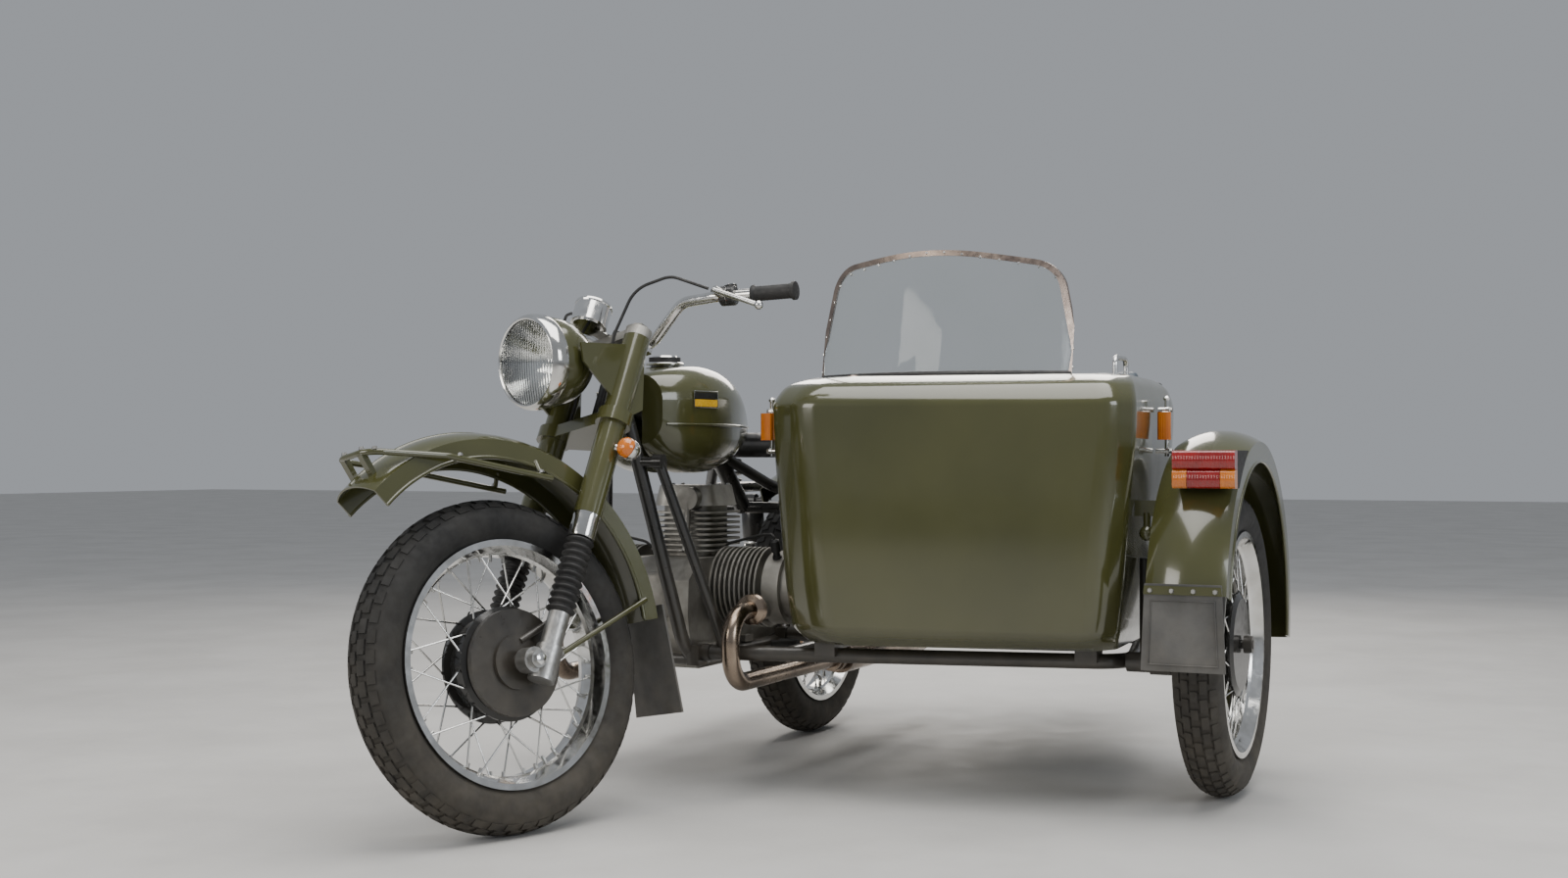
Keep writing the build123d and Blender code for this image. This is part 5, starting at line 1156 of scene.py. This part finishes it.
def drawn_in(column, height):
    """How far the shell is drawn in at a height: a smooth curve through the levels that never overshoots."""
    rises = [(b[column] - a[column]) / (b[0] - a[0]) for a, b in zip(shell_levels, shell_levels[1:])]
    bends = [1.7 * rises[0]]
    for before, after in zip(rises, rises[1:]):
        bends.append(2 * before * after / (before + after) if before * after > 0 else 0)
    bends.append(1.7 * rises[-1])
    spot = max(k for k in range(len(rises)) if height >= shell_levels[k][0] or k == 0)
    low, high = shell_levels[spot], shell_levels[spot + 1]
    run = high[0] - low[0]
    t = (height - low[0]) / run
    return ((2 * t**3 - 3 * t**2 + 1) * low[column] + (t**3 - 2 * t**2 + t) * run * bends[spot]
            + (3 * t**2 - 2 * t**3) * high[column] + (t**3 - t**2) * run * bends[spot + 1])


def shell_ring(height, inset, lift=0.0):
    """The shell's plan outline at a height, with each corner rounded by its own radius."""
    nose, side_in, tail = (drawn_in(column, height) + inset for column in (1, 2, 3))
    corners = [at(x - nose * nose_share + tail * tail_share, y + side * side_in, height + lift)
               for x, y, radius, nose_share, side, tail_share in shell_plan]
    ring = []
    for k, corner in enumerate(corners):
        before, after = corners[k - 1], corners[(k + 1) % len(corners)]
        enter, leave = (before - corner).normalized(), (after - corner).normalized()
        half = enter.angle(leave) / 2
        radius = shell_plan[k][2]
        centre = corner + (enter + leave).normalized() * radius / sin(half)
        start = corner + enter * radius / tan(half) - centre
        end = corner + leave * radius / tan(half) - centre
        for step in range(13):
            ring.append(centre + start.normalized().slerp(end.normalized(), step / 12) * radius)
    return ring


# %% Closed forms for the outside, the inside and the openings
def shell_form(inset):
    """A closed form whose skin follows the shell, drawn in by an inset all over."""
    work = bmesh.new()
    heights = []
    for low, high in zip(shell_levels, shell_levels[1:]):
        steps = 5 if high[0] - low[0] < 0.1 else 6
        heights += [low[0] + (high[0] - low[0]) * k / steps for k in range(steps)]
    heights.append(deck_z)
    rings = []
    for height in heights:
        lift = inset * (1 - 2 * (height - heights[0]) / (deck_z - heights[0]))
        rings.append([work.verts.new(place) for place in shell_ring(height, inset, lift)])
    work.faces.new(rings[0])
    work.faces.new(rings[-1])
    for low, high in zip(rings, rings[1:]):
        for k in range(len(low)):
            m = (k + 1) % len(low)
            work.faces.new((low[k], low[m], high[m], high[k]))
    return work


def carved(work, cutters, way="DIFFERENCE"):
    """Cuts closed forms from a closed form, or joins them to it, and returns the mesh."""
    stock = []
    for number, form in enumerate([work] + cutters):
        bmesh.ops.recalc_face_normals(form, faces=form.faces)
        mesh = bpy.data.meshes.new(f"form_{number}")
        form.to_mesh(mesh)
        form.free()
        block = bpy.data.objects.new(f"form_{number}", mesh)
        bpy.context.scene.collection.objects.link(block)
        stock.append(block)
    for cutter in stock[1:]:
        cut = stock[0].modifiers.new("cut", "BOOLEAN")
        cut.object = cutter
        cut.operation = way
        cut.solver = "EXACT"
    mesh = bpy.data.meshes.new_from_object(stock[0].evaluated_get(bpy.context.evaluated_depsgraph_get()))
    for block in stock:
        bpy.data.objects.remove(block)
    made = bmesh.new()
    made.from_mesh(mesh)
    return made


slope = 192.0 / 680.0
slope_x, tail_x, over_all = -0.020, -0.700, 1.2
lid_x, lid_y, lid_lap = (-0.470, -0.110), (body_in + 0.178, body_out - 0.283), 0.014
pin_r, hinge_r, hinge_lift, knuckle_half = 0.0025, 0.006, 0.007, 0.011
lid_up = Vector((-slope, 0, 1)).normalized()
lid_back = Vector((-1, 0, -slope)).normalized()


past_body = 1.4


def above_slope(lift):
    """All that lies above the tail's sloping deck."""
    work = bmesh.new()
    tail_z = deck_z + lift - (slope_x - tail_x) * slope
    corners = [(slope_x, deck_z + lift), (tail_x, tail_z), (tail_x, over_all), (slope_x, over_all)]
    prism(work, [at(x, past_body, z) for x, z in corners], -left * past_body)
    return work


def opening_form(middle, size, corner, lean, tall):
    """A block with rounded upright edges that cuts an opening."""
    work = bmesh.new()
    round_box(work, middle, (size[0], size[1], tall), corner, steps=8, lean=lean)
    return work


# %% Carve the shell
hollow = carved(shell_form(shell_wall), [above_slope(-shell_wall)])
bulkhead_x = -0.055
bulkhead = bmesh.new()
round_box(bulkhead, at(bulkhead_x, past_body / 2, 0.7), (shell_wall, past_body, 0.9), 0.001)
hollow = carved(hollow, [bulkhead])
opening = (0.030, 0.600, body_in + 0.082, body_out - 0.125)
cockpit = opening_form(at((opening[0] + opening[1]) / 2, (opening[2] + opening[3]) / 2, deck_z),
                       (opening[1] - opening[0], opening[3] - opening[2]), 0.060, Matrix.Identity(3), 0.120)
tail_plane = Matrix((-lid_back, left, lid_up)).transposed()
boot_middle = at(slope_x, sum(lid_y) / 2, deck_z) + lid_back * (slope_x - sum(lid_x) / 2)
boot = opening_form(boot_middle, (lid_x[1] - lid_x[0] - 2 * lid_lap, lid_y[1] - lid_y[0] - 2 * lid_lap),
                    0.040,
                    tail_plane, 0.080)
shell = carved(shell_form(0.0), [above_slope(0.0), hollow, cockpit, boot])
for edge_y in (lid_y[0] + 0.070, lid_y[1] - 0.070):
    pin = at(slope_x, edge_y, deck_z) + lid_back * (slope_x - lid_x[1] - 0.008) + lid_up * hinge_lift
    turned(shell, [(-0.023, 0), (-0.023, pin_r), (0.023, pin_r), (0.023, 0)], pin, left, around=16)
    for side in (1, -1):
        knuckle = pin + left * side * (knuckle_half + 0.0003)
        turned(shell, [(0, 0), (0, hinge_r), (0.012, hinge_r), (0.012, 0)], knuckle, left * side, around=24)
        round_box(shell, knuckle + left * side * 0.006 - lid_up * 0.0050, (0.012, 0.012, 0.010), 0.001,
                  lean=tail_plane)
shell_piece = show(shell, "sidecar_shell", "chassis", green_paint, ["sidecar_body"],
                   sharp_deg=28)
even = shell_piece.modifiers.new("even", "WEIGHTED_NORMAL")
even.keep_sharp = True
even.weight = 80

# %% [markdown]
# ## The sidecar's trim
# The opening has a rubber edging, the windscreen stands on a rubber strip, and rivets hold its metal
# frame. The frame is part of a round arc in plan, so the arc through its two ends and its middle gives
# the place of every rivet; higher ones lean back with the screen.

# %% Edging, strip, rivets and deck cap
work = bmesh.new()
path = []
for cx, cy, start in ((opening[1] - 0.060, opening[3] - 0.060, 0),
                      (opening[0] + 0.060, opening[3] - 0.060, 90),
                      (opening[0] + 0.060, opening[2] + 0.060, 180),
                      (opening[1] - 0.060, opening[2] + 0.060, 270)):
    for step in range(7):
        angle = radians(start + 15 * step)
        path.append(at(cx + 0.060 * cos(angle), cy + 0.060 * sin(angle), deck_z - 0.001))
swept(work, path, 0.0095, closed=True, around=12)
show(work, "cockpit_edging", "chassis", black_rubber)

screen_lean = 0.2126
screen_plan = arc((0.672, body_in + 0.038), (0.775, (body_in + body_out) / 2 - 0.078),
                  (0.668, body_out - 0.191), 40)
work = bmesh.new()
swept(work, [at(x, y, deck_z + 0.0055) for x, y in screen_plan], 0.0088, around=12)
show(work, "screen_strip", "chassis", black_rubber)


def on_screen(y, high, ahead):
    """A place on the leaning windscreen, so far ahead of its middle."""
    nearest = min(range(40), key=lambda k: abs((screen_plan[k][1] + screen_plan[k + 1][1]) / 2 - y))
    (x0, y0), (x1, y1) = screen_plan[nearest], screen_plan[nearest + 1]
    x = x0 + (x1 - x0) * (y - y0) / (y1 - y0)
    return at(x - screen_lean * high + ahead, y, deck_z + high)


middle_y = (body_in + body_out) / 2 - 0.078
corners = [Vector((y, high, 0)) for y, high in (
    (body_in + 0.036, 0.020), (body_in + 0.029, 0.060), (body_in + 0.072, 0.250), (middle_y, 0.296),
    (body_out - 0.227, 0.247), (body_out - 0.182, 0.060), (body_out - 0.187, 0.020))]
edge = rounded(corners, 0.050, steps=8)
lengths = [(b - a).length for a, b in zip(edge, edge[1:])]
rivets = 24
marks = []
for number in range(rivets):
    left_over = sum(lengths) * (number + 0.5) / rivets
    for a, b, length in zip(edge, edge[1:], lengths):
        if left_over <= length:
            place = a.lerp(b, left_over / length)
            break
        left_over -= length
    marks.append((on_screen(place.x, place.y, 0.0048), Vector((1, 0, screen_lean))))
heads("screen_rivets", marks, "chassis", chrome, radius=0.0034, height=0.0024, sides=12)
marks = [(on_screen(body_in + 0.09 + 0.092 * k, 0.0, 0.016) + up * 0.0005, up) for k in range(6)]
heads("strip_screws", marks, "chassis", worn_steel, radius=0.0048, height=0.004, sides=12)
work = bmesh.new()
turned(work, [(0, 0), (0, 0.014), (0.004, 0.015), (0.008, 0.012), (0.009, 0)],
       at(0.780, body_in + 0.160, deck_z - 0.0005), up)
turned(work, [(0, 0), (0, 0.010), (0.003, 0.010), (0.004, 0)], at(0.640, body_out - 0.095, deck_z), up)
turned(work, [(0, 0), (0, 0.010), (0.003, 0.010), (0.004, 0)], at(0.540, body_out - 0.095, deck_z), up)
show(work, "deck_caps", "chassis", bronzed_steel)

# %% Boot lid latch and joint bolts
along_slope = 1.039
latch = at(slope_x, 0.665, deck_z) + lid_back * 0.405 * along_slope + lid_up * 0.0103
work = bmesh.new()
turned(work, [(0, 0), (0, 0.018), (0.003, 0.018), (0.005, 0.013), (0.005, 0)], latch, lid_up)
swept(work, rounded([latch, latch + lid_up * 0.020, latch + lid_up * 0.020 + left * 0.044], 0.010), 0.0048)
show(work, "lid_latch", "boot_lid_body", chrome)

# %% [markdown]
# ## Lamps of the sidecar
# A small amber lamp stands on a chromed rod at each side of the nose. The tail lamp sits on the mudguard:
# red above, with amber corners below. A line shot at the body's wall finds where each rod is bolted.

# %% Rods, amber lenses and the tail lamp
rods, lenses, marks = bmesh.new(), bmesh.new(), []
for rod_x, outer in ((0.870, False), (0.604, True)):
    way = left if outer else -left
    wall, normal = on_skin("sidecar_body", at(rod_x, 1.5 if outer else 0.0, 0.840), -way)
    foot = Vector((wall.x, wall.y, 0)) + way * 0.027
    swept(rods, [foot + up * 0.772, foot + up * 0.900], 0.0050)
    turned(rods, [(0, 0), (0, 0.007), (0.005, 0.008), (0.009, 0.005), (0.010, 0)], foot + up * 0.898, up)
    for bolt_z in (0.784, 0.876):
        hit, normal = on_skin("sidecar_body", at(rod_x, 1.5 if outer else 0.0, bolt_z), -way)
        root = Vector((foot.x, foot.y, bolt_z))
        turned(rods, [(0, 0), (0, 0.0078), (0.007, 0.0078), (0.007, 0.0060),
                      ((hit - root).length - 0.001, 0.0060),
                      ((hit - root).length - 0.001, 0)], root - (hit - root).normalized() * 0.005, hit - root)
        marks.append((root + way * 0.0075, way))
    place = foot + up * 0.840 + forward * 0.010
    round_box(rods, place, (0.030, 0.020, 0.058), 0.006)
    round_box(lenses, place + forward * 0.0165, (0.018, 0.030, 0.062), 0.008, steps=5)
show(rods, "marker_rods", "chassis", chrome, ["sidecar_lamps"])
show(lenses, "marker_lenses", "chassis", amber_lens)
heads("marker_bolts", marks, "chassis", worn_steel, radius=0.0075, height=0.006)

guard_r = 0.4323
seat = [side_hub + Vector((0.024 + guard_r * cos(a), 0, 0.054 + guard_r * sin(a)))
        for a in [radians(45 + 18 * k / 8) for k in range(9)]]
low_z, high_z, front_x = seat[0].z, seat[-1].z, side_hub.x - 0.476 + 0.862
lamp_y = side_hub.y + 0.002 + 0.030
work = bmesh.new()
outline = seat + [Vector((front_x - 0.030, 0, high_z)), Vector((front_x - 0.030, 0, low_z))]
prism(work, [Vector((p.x, lamp_y + 0.064, p.z)) for p in outline], -left * 0.128)
show(work, "tail_lamp_base", "chassis", black_rubber)
for name, coat, slot, y0, y1, z0, z1 in (
    ("tail_lens_upper", red_lens, "red_lens", -0.065, 0.065, 0.50, 1.0),
    ("tail_lens_middle", red_lens, "red_lens", -0.034, 0.034, 0.0, 0.49),
    ("tail_lens_inner", amber_lens, "amber_lens", -0.065, -0.035, 0.0, 0.49),
    ("tail_lens_outer", amber_lens, "amber_lens", 0.035, 0.065, 0.0, 0.49),
):
    work = bmesh.new()
    tall = high_z - low_z
    corners = [(front_x - 0.0305, z0), (front_x - 0.006, z0), (front_x, z0 + 0.06), (front_x, z1 - 0.06),
               (front_x - 0.006, z1), (front_x - 0.0305, z1)]
    prism(work, [Vector((x, lamp_y + y1, low_z + tall * z)) for x, z in corners], left * (y0 - y1))
    show(work, name, "chassis", coat, sharp_deg=60)

# %% The motorcycle's tail lamp and blank plate
low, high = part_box("rear_lamp")
lamp_z = high.z - 0.032
work = bmesh.new()
turned(work, [(0, 0), (0, 0.028), (0.006, 0.032), (0.036, 0.032), (0.036, 0)],
       Vector((high.x, rear_hub.y, lamp_z)), -forward)
show(work, "rear_lamp_cup", "chassis", black_paint, ["rear_lamp"])
work = bmesh.new()
turned(work, [(0.0365, 0), (0.0365, 0.031), (0.050, 0.029), (0.058, 0.022), (0.0615, 0.010), (0.0615, 0)],
       Vector((high.x, rear_hub.y, lamp_z)), -forward)
show(work, "rear_lamp_lens", "chassis", red_lens)
work = bmesh.new()
plate_x, plate_z = rear_hub.x - 0.393, 0.460
upright = Matrix(((0, 0, -1), (1, 0, 0), (0, -1, 0)))
round_box(work, Vector((plate_x + 0.002, rear_hub.y, plate_z)), (0.190, 0.150, 0.004), 0.010, lean=upright)
show(work, "blank_plate", "chassis", plate_white)

# %% [markdown]
# ## Stage, light and camera
# A pale floor and large soft lights keep the reflections in paint and chrome calm. The camera has the
# photograph's viewpoint: low, ahead of the sidecar's nose, looking back along the outfit.

# %% Floor and lights
floor_mesh = bpy.data.meshes.new("floor")
floor_mesh.from_pydata([(-30, -30, 0), (30, -30, 0), (30, 30, 0), (-30, 30, 0)], [], [(0, 1, 2, 3)])
floor_mesh.materials.append(finish("pale_floor", [(0.60, 0.59, 0.57), (0.54, 0.53, 0.51)], (0.55, 0.75),
                                   mottle=2,
                                   grain=("noise", 60, 0.001)))
floor = bpy.data.objects.new("floor", floor_mesh)
bpy.context.scene.collection.objects.link(floor)

world = bpy.data.worlds.new("studio")
world.use_nodes = True
world.node_tree.nodes["Background"].inputs["Color"].default_value = (0.80, 0.84, 0.90, 1)
world.node_tree.nodes["Background"].inputs["Strength"].default_value = 0.42
bpy.context.scene.world = world


def soft_light(name, place, towards, size, power, colour):
    """A large square light that looks at a place."""
    light = bpy.data.lights.new(name, "AREA")
    light.size = size
    light.energy = power
    light.color = colour
    lamp_object = bpy.data.objects.new(name, light)
    lamp_object.location = place
    lamp_object.rotation_euler = (towards - place).to_track_quat("-Z", "Y").to_euler()
    bpy.context.scene.collection.objects.link(lamp_object)


middle = Vector((0, 0, 0.5))
soft_light("sky_panel", Vector((0.5, 0.5, 4.6)), middle, 4.0, 230, (1.0, 0.98, 0.95))
soft_light("front_panel", Vector((5.2, -2.6, 2.6)), middle, 2.6, 120, (1.0, 0.96, 0.90))
soft_light("side_panel", Vector((1.8, 5.4, 2.4)), middle, 2.2, 90, (0.92, 0.96, 1.0))
soft_light("back_panel", Vector((-4.6, -1.5, 3.2)), middle, 2.5, 110, (1.0, 0.94, 0.86))

# %% The camera at the photograph's viewpoint
heading = radians(25.03)
eye = at(4.546, 2.041, 0.767)
picture_width, focal_pixels, horizon_shift = 1600, 1796, 20
away = Vector((cos(heading), sin(heading), 0))
look = (-away + up * horizon_shift / focal_pixels).normalized()
camera_data = bpy.data.cameras.new("photographer")
camera_data.sensor_width = 36.0
camera_data.lens = 36.0 * focal_pixels / picture_width
camera = bpy.data.objects.new("photographer", camera_data)
camera.location = eye
camera.rotation_euler = look.to_track_quat("-Z", "Y").to_euler()
bpy.context.scene.collection.objects.link(camera)
bpy.context.scene.camera = camera
print("camera at", eye, "lens", camera_data.lens)
